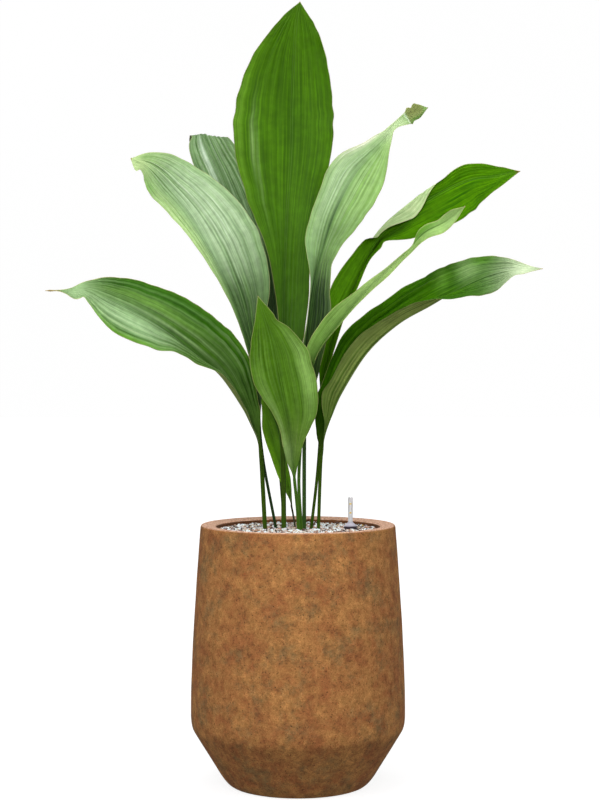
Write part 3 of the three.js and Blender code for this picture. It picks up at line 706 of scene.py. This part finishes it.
def paint(lay, rng, look, tone_and_light_patches):
    """The upper side's colours: deep and fresh green in streaks, then the patches of (station, place across,
    reach along, reach across, colour, strength) with soft sides, some the leaf's own tones and some painted
    shade and painted sheen, then pleat ridges painted paler as waxy bloom and sheen, furrows painted darker
    as shade, a dark band of painted shade along the midrib's channel, and the stalk's own green. A seventh
    number of a patch makes its ends crisper."""
    s = lay.s
    streaks = ripple(rng, s + 0.03 * ripple(rng, lay.station, 0.1, 0.5, 3), 4, 22, 9)
    streaks = streaks * np.clip(0.8 + 0.5 * ripple(rng, 1.3 * lay.station + 2 * s, 0.2, 0.8, 5), 0, 1.6)
    tone = toward(np.zeros((*(lay.station * s).shape, 3)), look["deep"], 1 + 0 * lay.v * lay.t)
    clouds = ripple(rng, lay.station + 3 * s, 0.2, 0.9, 4)
    tone = toward(tone, look["fresh"], 0.5 + 0.26 * streaks + 0.12 * clouds)
    # Patches: some are the leaf's own tones, and many are painted shade and painted sheen.
    for place, spot, long, wide, colour, share, *crisp in tone_and_light_patches:
        near = np.exp(-np.abs((lay.station - place) / long) ** (crisp or [2])[0] - ((s - spot) / wide) ** 2)
        tone = toward(tone, colour, share * near * (1 + 0.22 * streaks + 0.2 * lay.pleats))
    # Waxy bloom and painted sheen: the pleats' ridges turn towards the pale colour, less where the tone is
    # dark as in shade.
    raised = np.clip(0.10 + 0.16 * lay.pleats, 0, 1) * lay.quiet * (0.3 + 0.7 * lay.past_foot)
    lit = np.clip(1.4 * tone.mean(-1) / np.mean(srgb(*look["fresh"])[:3]), 0.1, 1)
    tone = toward(tone, look["pale"], look["ridge_bloom_and_sheen"] * raised * lit)
    # Painted shade: the furrows are darkened.
    furrow_shade_share = np.clip(look["furrow_shade"] * lay.furrows * lay.quiet, 0, 0.85)[..., None]
    tone = tone * (1 - furrow_shade_share * np.array([0.78, 0.62, 0.86]))
    # Painted shade: a dark band along the midrib's channel.
    band = np.exp(-((lay.v * lay.half / midrib_band) ** 2)) * lay.flat * (1 - lay.t**2)
    tone = tone * (1 - look["band"] * band[..., None] * np.array([0.55, 0.45, 0.5]))
    return toward(tone, look["stalk"], (1 - np.clip((lay.station + 0.4) / 1.3, 0, 1)) * (1 + 0 * lay.v))


def leaf(node, order, stalk, blade, pleats, look, tone_and_light_patches=(), bumps=(), rolls=(), dry=0.004):
    """One leaf, from its stalk's points, besides the one in stalk_places, and its blade's stations, all in
    millimetres. Each station is a point on the midrib, the half widths to the left and right, then in
    degrees the azimuth and elevation that the upper side faces, and the folds of both halves. pleats are
    their depth, their number across a half, and the number of vein furrows. look holds the colours as screen
    values. paint, bells and bend_half say what touches, bumps and rolls are. dry is the dry tip's share of
    the length."""
    rng = np.random.default_rng(100 + order)
    lay = lay_rings(order, stalk, blade)
    halves = [bend_half(lay, rng, order, hand, bumps, rolls) for hand in (-1, 1)]
    sheet, normals, lay.half = (join(left, right) for left, right in zip(*halves))
    lay.s = np.linspace(-1, 1, 2 * points_per_half + 1)[None]
    lay.v = np.abs(lay.s)
    sheet = sheet + normals * crease(lay, rng, *pleats)[..., None]
    made = close_skin(lay, node + "_blade", sheet, normals)

    def round_ring(values):
        """Values over the upper side, carried on over the under side in the order of the skin's points."""
        values = values + 0 * lay.v * lay.t
        return np.concatenate([values, values[:, -2:0:-1]], 1)

    above = paint(lay, rng, look, tone_and_light_patches)
    tone = np.concatenate([above, above[:, -2:0:-1]], 1)
    between = 2 * points_per_half - 1
    below = np.concatenate([[0.5], np.zeros(between), [0.5], np.ones(between)])
    # The under side turns to the back colour: partly its own paler green and partly painted light, made
    # lighter to stand in for light through the leaf and up from the floor.
    veined = round_ring((1 + look["under_veins"] * lay.pleats) * (0.4 + 0.6 * lay.past_foot))
    tone = toward(tone, look["back"], 0.85 * below * round_ring(lay.flat) * veined)
    tone = toward(tone, (104, 66, 44), round_ring(np.clip((lay.t - 1 + dry) / dry, 0, 1) ** 0.5))
    mark(made, "tone", np.concatenate([tone, np.ones((*tone.shape[:2], 1))], -1).reshape(-1, 4))
    mark(made, "from_rib", round_ring(lay.v * lay.half).ravel())
    mark(made, "from_edge", round_ring((1 - lay.v) * lay.half + 1 - lay.flat).ravel())
    mark(made, "blade", round_ring(lay.flat).ravel())
    corner = np.empty(len(made.data.loops), np.int32)
    made.data.loops.foreach_get("vertex_index", corner)
    grid = np.column_stack([round_ring(lay.t).ravel(), round_ring((lay.s + 1) / 2).ravel()])
    made.data.uv_layers.new(name="veins").data.foreach_set("uv", grid[corner].astype(np.float32).ravel())
    dress(made, leaf_skin(node + "_green", order, look))
    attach(made, "root")
    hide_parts(node)


def leaf_skin(name, order, look):
    """A waxy leaf surface. The painted tone is broken by fine streaks along the veins and faint bands across
    them. A thin pale line marks the margin and two mark the midrib's channel."""
    made, tree = material(name, Specular_IOR_Level=look["shine"])
    grid = add(tree, "ShaderNodeUVMap", {"uv_map": "veins"})
    blade, rib, edge = (stored(tree, field) for field in ("blade", "from_rib", "from_edge"))

    def streaks(shift, cycles, rough):
        """Noise on the grid of the veins, with so many cycles over the leaf's length and width."""
        moved = add(tree, "ShaderNodeMapping", Vector=grid, Location=shift, Scale=(*cycles, 1))
        return add(tree, "ShaderNodeTexNoise", {"noise_dimensions": "2D"}, Vector=moved, Scale=1.0,
                   Detail=2.0, Roughness=rough)

    def joined(how, first, second):
        """Two fields added or multiplied."""
        result = add(tree, "ShaderNodeMath", {"operation": how}, Value=first)
        tree.links.new(second, result.node.inputs[1])
        return result

    def grown(field, low, high):
        """0 where a field in metres is under low, 1 where it is over high, and even between."""
        return add(tree, "ShaderNodeMapRange", Value=field, From_Min=low, From_Max=high)

    shown = joined("MULTIPLY", grown(joined("ADD", rib, edge), 0.008, 0.035), blade)
    veins = mixed(tree, shown, (0.5, 0.5, 0.5, 1), streaks((order * 3.7, 0, 0), (5, 80), 0.6))
    colour = overlaid(tree, 0.75, stored(tree, "tone", "Color"), veins, (0.3, 0.38), (0.5, 0.5), (0.7, 0.64))
    bands = streaks((order * 1.3, 5, 0), (60, 14), 0.5)
    colour = overlaid(tree, 0.35, colour, bands, (0.3, 0.40), (0.7, 0.60))
    blotches = noise(tree, place_on(tree), 0.017, 4.0, 0.6)
    colour = overlaid(tree, 0.4, colour, blotches, (0.35, 0.38), (0.65, 0.62))
    line = ramp(tree, grown(rib, 0.0, 0.004), (0.24, 0.0), (0.32, 0.35), (0.40, 0.0))
    colour = mixed(tree, joined("MULTIPLY", line, blade), colour, srgb(120, 150, 80))
    dry_edge = ramp(tree, grown(edge, 0.0, 0.002), (0.16, look["margin"]), (0.46, 0.0))
    colour = mixed(tree, dry_edge, colour, srgb(212, 196, 138))
    gloss = add(tree, "ShaderNodeMapRange", Value=veins, To_Min=0.36, To_Max=0.54)
    return coat(made, (veins, 0.00015, 0.5), Base_Color=colour, Roughness=gloss)


# The tall centre leaf: the largest blade, upright and nearly flat, deep satin green, with a dark band of
# painted shade along its midrib.
dark_look = dict(slot="leaf_dark", deep=(44, 82, 0), fresh=(72, 118, 0), pale=(106, 156, 46),
                 back=(126, 146, 88), stalk=(56, 82, 18), ridge_bloom_and_sheen=0.35, furrow_shade=0.25, band=0.5, shine=0.05,
                 margin=0.3, under_veins=0.25)
leaf("leaf_tall_centre", 0, [(-16.5, 16, 279), (-18, 14, 370), (-19, 15, 420)],
     [(-19, 17, 443, 3.05, 3.05, -8, 5, 30, 30), (-19, 25, 504, 4, 20.5, -8, 5, 30, 25),
      (-18, 38, 578, 8, 32, -6, 6, 28, 22), (-16, 52, 652, 23.5, 34, -4, 8, 20, 18),
      (-13, 65, 715, 52, 41, -3, 8, 15, 14), (-9, 75, 778, 71, 52, -2, 8, 11, 12),
      (-7.8, 81, 836, 70, 52, -2, 8, 9, 10), (-5, 83, 898, 50, 40.5, -2, 8, 8, 8),
      (-2.2, 82, 940, 21.4, 22.8, -2, 8, 8, 8), (2.5, 81, 965.5, 0, 0, -2, 8, 8, 8)],
     (0.3, 5, 26), dark_look,
     tone_and_light_patches=[(1.2, 0.3, 1.6, 1.4, (48, 76, 24), 0.7), (5.2, -0.68, 0.7, 0.035, (170, 200, 130), 0.35),
              (4.6, -0.6, 0.9, 0.03, (150, 186, 106), 0.4), (5.4, -0.93, 1.6, 0.08, (110, 156, 44), 0.5)],
     bumps=[(6.5, -1, 0.3, 1.5)])

# The upper left leaf: a long arching blade, strongly pleated, with a pale waxy bloom and painted sheen over
# its right half and its tip, and painted shade over its lower part and foot. Its tip is hooked.
pale_look = dict(dark_look, slot="leaf_pale", deep=(88, 128, 58), fresh=(134, 172, 104),
                 pale=(204, 222, 190), ridge_bloom_and_sheen=1.1, furrow_shade=0.75, shine=0.15)
leaf("leaf_upper_left", 1, [(-25, 17, 279), (-41.7, 12, 388), (-47.2, 8, 440)],
     [(-49, 6, 468, 2.4, 4.6, 20, 10, 40, 40), (-55, 6, 517, 6, 14, 22, 12, 38, 32),
      (-66, 8, 558, 8, 28, 23, 14, 34, 28), (-82, 14, 600, 10.5, 52, 23, 16, 30, 24),
      (-105, 24, 649, 18, 63, 20, 18, 26, 20), (-133, 34, 696, 25, 56, 12, 22, 22, 16),
      (-163, 38, 733, 26.5, 41, 0, 30, 14, 12), (-185, 36, 755, 15, 24.5, -6, 40, -15, 8),
      (-205, 26, 764, 0, 0, -10, 45, -25, 4)],
     (0.9, 5.5, 30), dict(pale_look, stalk=(28, 52, 16)),
     # Painted sheen: the pale patches at stations 4.8 and 7.7. Painted shade: the dark ones at 2.7 and 1.3.
     tone_and_light_patches=[(4.8, 0.4, 1.8, 0.6, (180, 204, 166), 0.85), (4.8, -0.8, 1.7, 0.35, (178, 208, 136), 0.85),
              (2.7, 0.3, 1, 1, (54, 86, 28), 0.9), (1.3, 0, 1.2, 1.6, (38, 68, 14), 0.97),
              (7.7, 0, 0.8, 2, (204, 226, 160), 0.85), (6.3, -0.85, 0.35, 0.25, (98, 146, 54), 0.8),
              (7.2, 0.6, 0.4, 0.3, (100, 148, 58), 0.7)],
     bumps=[(7.68, -1, 0.22, 10.5), (6.95, -1, 0.2, -1.5), (7.4, 1, 0.3, -1.5), (6.3, 1, 0.3, 1.2),
            (5.5, -1, 0.3, -1.5), (6.5, -1, 0.25, -1)])

# The back left leaf: it leans away to the back and its end hangs over, greyer, with dark furrows painted as
# shade, its foot painted in shadow and a streak of painted sheen.
grey_look = dict(pale_look, deep=(68, 106, 48), fresh=(120, 154, 98), pale=(202, 220, 188))
leaf("leaf_back_left", 2, [(-13.5, 34, 279), (-23.5, 58, 392), (-28, 68, 440)],
     [(-29, 76, 466, 2.4, 2.4, 0, 5, 35, 35), (-34, 94, 542, 17, 11, 5, 8, 32, 30),
      (-47, 114, 612, 25, 23, 8, 12, 26, 24), (-67, 136, 677, 30, 36, 8, 18, 22, 20),
      (-91, 162, 737, 30, 40, 4, 30, 14, 10), (-114, 196, 788, 27.5, 37, 0, 55, -6, -2),
      (-128, 230, 818, 21, 35.5, 0, 85, -20, -14), (-135, 262, 809, 11, 22, 0, 112, -12, -8),
      (-138, 284, 790, 0, 0, 0, 130, -6, -6)],
     (1.1, 5.5, 28), grey_look,
     # Painted shade: the dark foot. Painted sheen: the pale streak at station 4.8.
     tone_and_light_patches=[(1, 0, 1.7, 2, (40, 66, 28), 0.95), (4.8, -0.35, 1, 0.12, (210, 228, 206), 0.7),
              (4.6, 0.7, 1.5, 0.4, (92, 128, 66), 0.7)],
     bumps=[(0.5, -1, 0.4, 2), (5.9, -1, 0.3, -6), (6.4, -1, 0.25, -2)])

# The upper right leaf: pale and half folded along its midrib, its left margin in front of the centre leaf,
# its tip twisted over. Its left half and the part before the tip carry painted sheen, its left margin and
# the tip's fold painted highlights, and its right half and foot are painted in deep shade, with a line of
# painted shade along the midrib.
leaf("leaf_upper_right", 3, [(6.5, 2, 279), (7.5, 3, 370), (7.7, 4, 420)],
     [(8.3, 4, 443, 2.6, 2.6, -5, 5, 45, 45), (9, 7, 510, 8, 23, -8, 6, 60, 40),
      (13, 12, 568, 3, 33, -10, 8, 90, 40), (19, 18, 611, 6, 25, -10, 8, 80, 34),
      (30, 27, 656, 23, 25, -10, 10, 36, 26), (43, 37, 699, 25, 44, -12, 12, 20, 22),
      (70, 52, 750, 29.5, 44.5, -14, 14, 16, 14), (108, 68, 791, 12.7, 10, -10, 16, 10, 10),
      (117.5, 73, 807.5, 3.6, 5.4, -8, 14, 8, 8), (133, 77, 821, 4, 11.5, -5, 10, 6, 6),
      (146.5, 78, 827, 9.5, 9, -5, 8, 4, 4), (163, 77, 832.5, 0, 0, -5, 8, 0, 0)],
     (0.5, 5, 22), dict(pale_look, deep=(98, 138, 62), fresh=(140, 180, 100), ridge_bloom_and_sheen=0.7, furrow_shade=0.45,
                        back=(104, 132, 62), stalk=(50, 80, 28)),
     # Painted sheen: the pale patches at 5.6 and 8. Painted shade: the near-black ones at 2.4 and 1 and the
     # dark line at 4.2. Painted highlights: the pale line along the left margin at 6.6 and the one across
     # the tip's fold at 9.12.
     tone_and_light_patches=[(5.6, -0.35, 1.4, 0.5, (162, 190, 144), 0.8), (5.8, 0.6, 1.5, 0.45, (132, 172, 88), 0.7),
              (4.6, 0.1, 0.5, 0.6, (96, 134, 66), 0.5), (2.4, 0.45, 1.5, 0.9, (14, 42, 0), 1),
              (1, 0.2, 1.4, 1.4, (20, 46, 2), 1), (3, -0.8, 1.2, 0.5, (112, 146, 96), 0.8),
              (4.2, 0.06, 2, 0.06, (44, 80, 30), 0.8), (8, 0, 1, 2, (190, 212, 160), 0.85, 4),
              (6.6, -0.9, 0.5, 0.2, (222, 222, 200), 0.8), (9.9, 0, 0.75, 3, (120, 128, 64), 0.97, 8),
              (10, 1, 0.8, 0.4, (62, 110, 22), 0.95, 8), (9.12, 0, 0.05, 2, (215, 230, 205), 0.9)],
     bumps=[(3.5, 1, 0.3, -3), (6.5, 1, 0.3, 1), (6.55, -1, 0.25, -3), (9.35, 1, 0.2, 2.2),
            (5.4, -1, 0.25, -1), (4.5, 1, 0.3, 1.5), (5.5, 1, 0.5, 1), (9.45, -1, 0.12, 2),
            (9.8, -1, 0.1, -2.5), (10.15, -1, 0.12, 2), (10.5, -1, 0.3, 1.2), (10.3, 1, 0.4, 2)])

# The twisted right leaf: it leans back and kinks halfway, and there its left margin rolls over and shows the
# paler back. A dark line of painted shade runs along its right fold low down.
leaf("leaf_twisted_right", 4, [(14, 8, 279), (23, 16, 370), (27, 22, 420)],
     [(28, 26, 443, 2.5, 2.2, 10, 5, 40, 40), (33, 38, 504, 9, 6, 5, 5, 36, 60),
      (47.5, 52, 560, 19.5, 15.5, -5, 6, 26, 85), (68, 66, 604, 26, 19, -8, 8, 20, 95),
      (88, 80, 645, 19, 16.5, -8, 10, 20, 92), (108, 90, 675, 14.5, 20, -8, 10, 20, 20),
      (143, 100, 704, 31, 36, -5, 14, 10, 6), (180, 110, 728, 16.5, 46, -2, 18, 10, 6),
      (219, 114, 746, 21.5, 38, 0, 20, 10, 6), (253, 112, 750, 14.5, 17, 0, 20, 6, 4),
      (282, 106, 756, 0, 0, 0, 20, 4, 4)],
     (0.3, 5, 24), dict(dark_look, deep=(42, 92, 0), fresh=(80, 134, 0), pale=(96, 150, 14),
                        back=(190, 214, 156), margin=0.45, under_veins=0.12, shine=0.02),
     # Painted shade: the dark line at station 3.6.
     tone_and_light_patches=[(0.8, 0, 1, 2, (54, 98, 0), 0.8), (3.1, -0.4, 1.3, 0.8, (86, 142, 10), 0.85),
              (3.6, 0.3, 2, 0.22, (22, 40, 8), 0.9)],
     bumps=[(4.75, 1, 0.3, -9), (5.5, 1, 0.25, 2.5), (8.5, 1, 0.25, 1.8), (0.6, -1, 0.3, -2),
            (7.25, -1, 0.3, -2)],
     rolls=[(-1, 4.3, 7.6, 4.5, 12.5, 172)], dry=0.02)

# The narrow right leaf: slim, rolled along its length and lighter green, with a paler, flatter tip. Near the
# tip its left lobe is painted dark as shade, with a line of painted shade along the fold.
bright_look = dict(dark_look, slot="leaf_bright", deep=(60, 100, 4), fresh=(90, 138, 24),
                   pale=(160, 196, 110), ridge_bloom_and_sheen=0.5, furrow_shade=0.35, stalk=(66, 102, 28), shine=0.1)
leaf("leaf_narrow_right", 5, [(6.5, -6, 279), (1, -12, 370), (4.5, -18, 432)],
     [(8, -22, 462, 2.2, 2.2, -20, 0, 50, 50), (20.5, -32, 517, 15, 6, -30, 20, 50, 80),
      (48, -44, 558, 19, 14, -35, 35, 44, 50), (82.8, -62, 600, 9.2, 12, -35, 42, 40, 25),
      (120, -82, 636, 3, 11, -30, 45, 36, 10), (146, -96, 663, 9, 15.5, -10, 40, 30, 30),
      (172, -106, 677, 8.5, 8.5, 20, 20, 20, 20), (193, -112, 694, 0, 0, 30, 10, 10, 10)],
     (0.4, 4, 18), dict(bright_look, deep=(92, 132, 48), fresh=(130, 168, 82), margin=0.45),
     # Painted shade: the dark lobe and the dark fold line at station 5.
     tone_and_light_patches=[(6.2, 0, 1.3, 2, (164, 200, 120), 0.85), (1.2, 0.5, 1.6, 0.9, (86, 122, 42), 0.7),
              (3.6, -0.1, 1.1, 1.2, (172, 200, 126), 0.65), (5, -0.6, 0.6, 0.5, (95, 150, 40), 0.9),
              (5, -0.1, 0.8, 0.08, (60, 100, 30), 0.8)],
     bumps=[(6.5, -1, 0.3, 2.5), (5.6, -1, 0.35, -3), (4.5, -1, 0.3, -5), (3.5, 1, 0.3, 3),
            (5.65, 1, 0.3, 2)])

# The arching right leaf: a long blade that bows forward, glossy dark above, its lower half turned under,
# with patches of painted sheen and a pale tip painted as sheen.
leaf("leaf_arching_right", 6, [(22, -2, 279), (26.6, -8, 370), (28.5, -12, 404)],
     [(31.2, -14, 424, 9.7, 5.7, -38, 30, 45, 70), (40.2, -18, 449, 24, 19.5, -42, 38, 50, 92),
      (53.4, -26, 479, 30, 34.5, -42, 48, 52, 96), (83, -42, 526, 42.5, 34, -36, 58, 50, 88),
      (119, -60, 559.5, 43, 28, -28, 62, 44, 72), (156, -80, 581, 54, 25, -22, 64, 38, 62),
      (186, -96, 599, 43, 30.5, -12, 62, 30, 4), (215, -108, 613, 36.5, 32, -4, 56, 20, -10),
      (242, -118, 620, 17.5, 20.5, 0, 50, 10, -6), (262, -126, 620, 8, 6, 0, 45, 6, 0),
      (280, -132, 621, 0, 0, 0, 45, 4, 0)],
     (0.6, 5, 24), dict(dark_look, deep=(28, 70, 0), fresh=(58, 108, 0), furrow_shade=0.5, pale=(108, 160, 36),
                        ridge_bloom_and_sheen=0.6, back=(154, 176, 92), shine=0.02, margin=0.45, under_veins=0.5),
     # Painted sheen: the pale tip at station 9 and the pale patches at 6.5 and 5.5.
     tone_and_light_patches=[(9, 0, 1.3, 2, (208, 224, 186), 0.9), (6.5, -0.6, 0.4, 0.5, (150, 180, 120), 0.6),
              (7, -0.85, 0.5, 0.3, (60, 110, 10), 0.8), (5.5, -0.6, 0.25, 0.4, (112, 156, 66), 0.4)],
     bumps=[(5.6, 1, 0.3, 3), (7.9, -1, 0.3, 3), (8.5, 1, 0.25, -2), (2.6, -1, 0.6, 4), (6.5, 1, 0.3, -2),
            (7.6, 1, 0.3, 5)], dry=0.012)

# The arching left leaf: a long pleated blade that bows forward to the left, with a dark upper edge and a
# dark stripe by the midrib painted as shade, a lower half and tip painted pale as waxy bloom and sheen, and
# a thin dry tip.
leaf("leaf_arching_left", 7, [(-38.8, 6, 279), (-42.6, 0, 358), (-44.8, -5, 400)],
     [(-48, -8, 420, 2.8, 2.8, 35, 30, 45, 45), (-58.2, -12, 442, 10, 15, 35, 36, 60, 48),
      (-67.2, -18, 460, 16, 26, 34, 42, 70, 48), (-91, -32, 496, 26, 47, 28, 46, 60, 42),
      (-114, -46, 518, 28.5, 57.5, 22, 46, 40, 34), (-144, -62, 543, 36, 55.5, 14, 46, 22, 24),
      (-176, -78, 565, 54, 50, 8, 46, 12, 16), (-213, -94, 585, 49, 37.5, 2, 44, 8, 10),
      (-243, -104, 598, 21, 14, 0, 42, 4, 6), (-265, -110, 597.5, 6, 2.4, 0, 40, 0, 0),
      (-291, -116, 596.5, 0, 0, 0, 40, 0, 0)],
     (0.9, 5, 28), dict(dark_look, deep=(46, 86, 8), fresh=(80, 124, 30), pale=(184, 206, 156), furrow_shade=0.8,
                        ridge_bloom_and_sheen=0.9, back=(172, 190, 112), shine=0.03, margin=0.6, under_veins=0.5),
     # Painted sheen: the pale lower half at station 6.4 and the pale tip at 8.6. Painted shade: the dark
     # upper edge at 5.6 and the dark stripe by the midrib at 4.4.
     tone_and_light_patches=[(6.4, -0.45, 1.7, 0.5, (158, 190, 142), 0.85), (5.6, 0.8, 3, 0.3, (46, 100, 0), 0.97),
              (6, 0.45, 1.6, 0.12, (102, 150, 50), 0.6), (8.6, 0, 0.9, 2, (160, 190, 140), 0.8),
              (4.4, -0.05, 1.3, 0.14, (34, 70, 12), 0.85), (3.5, -0.3, 0.8, 1, (50, 86, 18), 0.8),
              (4.2, -0.7, 1, 0.6, (62, 100, 26), 0.9), (6.6, -0.92, 1.2, 0.14, (88, 142, 34), 0.9),
              (0.8, 0.3, 1.5, 1.2, (84, 120, 46), 0.8), (0.9, -0.9, 1, 0.2, (190, 205, 150), 0.9)],
     bumps=[(8.75, -1, 0.3, 6.5), (8.25, -1, 0.15, -3), (4.5, -1, 0.3, -2), (5.5, -1, 0.3, 3),
            (6.5, 1, 0.3, 1.5), (9.5, -1, 0.2, -1), (9.8, -1, 0.12, 0.8), (9.8, 1, 0.12, 0.8)], dry=0.07)

# The small front leaf: a young upright blade in front of the others, bright green, paler at its foot, with
# painted sheen along its turned margins and at the left of its foot.
leaf("leaf_small_front", 8, [(2.8, -13, 279), (-1, -22, 340), (-4, -28, 370)],
     [(-5, -30, 381, 2.6, 3, 10, 0, 40, 40), (-8, -36, 415, 12, 15, 10, 2, 34, 34),
      (-14, -44, 452, 16, 38, 8, 6, 26, 22), (-23, -54, 499, 33, 42, 6, 10, 18, 14),
      (-32, -64, 543, 26, 28, 4, 14, 14, 10), (-41, -72, 572, 10, 10, 2, 16, 10, 8),
      (-47, -76, 592, 0, 0, 0, 18, 6, 6)],
     (0.4, 4.5, 22), bright_look,
     # Painted sheen: the pale margin patches at 3, 1.7 and 0.6.
     tone_and_light_patches=[(0.8, 0, 1.1, 2, (104, 132, 58), 0.7), (3, 0.78, 1.1, 0.2, (150, 190, 100), 0.7),
              (1.7, -0.75, 1.2, 0.2, (140, 172, 95), 0.7), (0.6, -0.6, 0.6, 0.7, (150, 180, 110), 0.7)],
     bumps=[(3.5, 1, 0.3, 3), (4.5, 1, 0.3, -5), (1.5, -1, 0.3, -1.5), (0.5, -1, 0.3, 2)])

# The small back leaf: the youngest, short and narrow, low behind the centre stalks, its right half painted
# dark as shade.
leaf("leaf_small_back", 9, [(-2, 22, 279), (-6, 26, 326), (-8, 28, 336)],
     [(-9, 29, 344, 1.6, 1.6, 15, 0, 30, 30), (-15, 32, 369, 8.8, 6.2, 15, 0, 26, 26),
      (-25, 38, 398, 9.5, 10, 12, 2, 22, 22), (-35, 46, 430, 9.5, 17, 10, 4, 16, 16),
      (-41, 52, 452, 4, 10, 8, 6, 10, 10), (-47, 56, 474, 0, 0, 5, 8, 6, 6)],
     (0.3, 4, 14), dict(bright_look, deep=(88, 142, 6), fresh=(122, 178, 26), band=0.8, stalk=(60, 60, 40)),
     # Painted shade: the dark right half at station 3.2.
     tone_and_light_patches=[(3.2, 0.9, 1.8, 0.5, (30, 62, 14), 0.95)])


# The studio: a white floor that glows and a white dome, two large soft lights high in front at the sides,
# one above, a low one behind the camera, and soft daylight all round. The camera stands where the photograph
# was taken from.
def soft_light(name, place, aim, width, height, power):
    """A rectangular soft light at place that faces aim."""
    data = bpy.data.lights.new(name, "AREA")
    data.shape = "RECTANGLE"
    data.size, data.size_y, data.energy = width, height, power
    made = bpy.data.objects.new(name, data)
    made.location = place
    made.rotation_euler = (Vector(aim) - Vector(place)).to_track_quat("-Z", "Y").to_euler()
    bpy.context.scene.collection.objects.link(made)


room_half = 14.0
floor_corners = np.array([[-1, -1, 0], [1, -1, 0], [1, 1, 0], [-1, 1, 0]]) * room_half
floor = skin("studio_floor", floor_corners, [[0, 1, 2, 3]])
floor_paint, tree = material("floor_paint", Roughness=0.9, Specular_IOR_Level=0.1,
                             Emission_Color=(1, 1, 1, 1))
floor_place = place_on(tree)
far_away = add(tree, "ShaderNodeVectorMath", {"operation": "LENGTH"}, "Value", Vector=floor_place)
glow = add(tree, "ShaderNodeMapRange", Value=far_away, From_Min=0.2, From_Max=1.2, To_Min=0.86, To_Max=1.0)
grey = ramp(tree, noise(tree, floor_place, 0.5), (0.3, 0.20), (0.7, 0.24))
dress(floor, coat(floor_paint, Base_Color=grey, Emission_Strength=glow))

rises = np.linspace(0, math.pi / 2, 25)[:-1]
dome_arc = [(room_half * math.cos(rise), room_half * math.sin(rise)) for rise in rises]
dome = turned("studio_dome", [(0, -0.5), (room_half, -0.5), *dome_arc, (0, room_half)], 64)
dome_paint, tree = material("dome_paint", Roughness=1.0, Emission_Strength=1.0, Base_Color=(0, 0, 0, 1))
white = ramp(tree, noise(tree, place_on(tree), 6.0), (0.3, 0.99), (0.7, 1.0))
dress(dome, coat(dome_paint, Emission_Color=white))
dome.visible_transmission = False
dome.visible_shadow = False
for piece in (floor, dome):
    piece.visible_diffuse = False
    piece.visible_glossy = False

soft_light("left_box", (-0.88, -1.53, 1.98), (0, 0, 0.5), 1.5, 1.1, 29)
soft_light("right_box", (0.93, -1.5, 1.98), (0, 0, 0.5), 1.5, 1.1, 20)
soft_light("top_box", (0, 0.1, 2.5), (0, 0, 0.5), 1.4, 1.4, 12)
soft_light("front_fill", (0, -2.9, 0.6), (0, 0, 0.4), 1.6, 1.2, 11.5)

surround = bpy.data.worlds.new("white_surround")
surround.use_nodes = True
sky = surround.node_tree
direction = add(sky, "ShaderNodeTexCoord", output="Generated")
upward = add(sky, "ShaderNodeSeparateXYZ", output="Z", Vector=direction)
daylight = add(sky, "ShaderNodeMapRange", Value=upward, From_Min=-0.4, From_Max=0.5, To_Min=0.25,
               To_Max=0.45)
sky.links.new(daylight, sky.nodes["Background"].inputs["Strength"])
sky.nodes["Background"].inputs["Color"].default_value = (1, 1, 1, 1)
bpy.context.scene.world = surround
bpy.context.scene.view_settings.view_transform = "Standard"

camera_place = (0.0024, -2.260, 0.519)
focal_pixels = 1860
tilt_pixels = 42
frame_height_pixels = 800
lens_data = bpy.data.cameras.new("camera")
lens_data.sensor_width = 36
lens_data.lens = lens_data.sensor_width * focal_pixels / frame_height_pixels
camera = bpy.data.objects.new("camera", lens_data)
camera.location = camera_place
camera.rotation_euler = (math.pi / 2 - math.atan(tilt_pixels / focal_pixels), 0, 0)
bpy.context.scene.collection.objects.link(camera)
bpy.context.scene.camera = camera
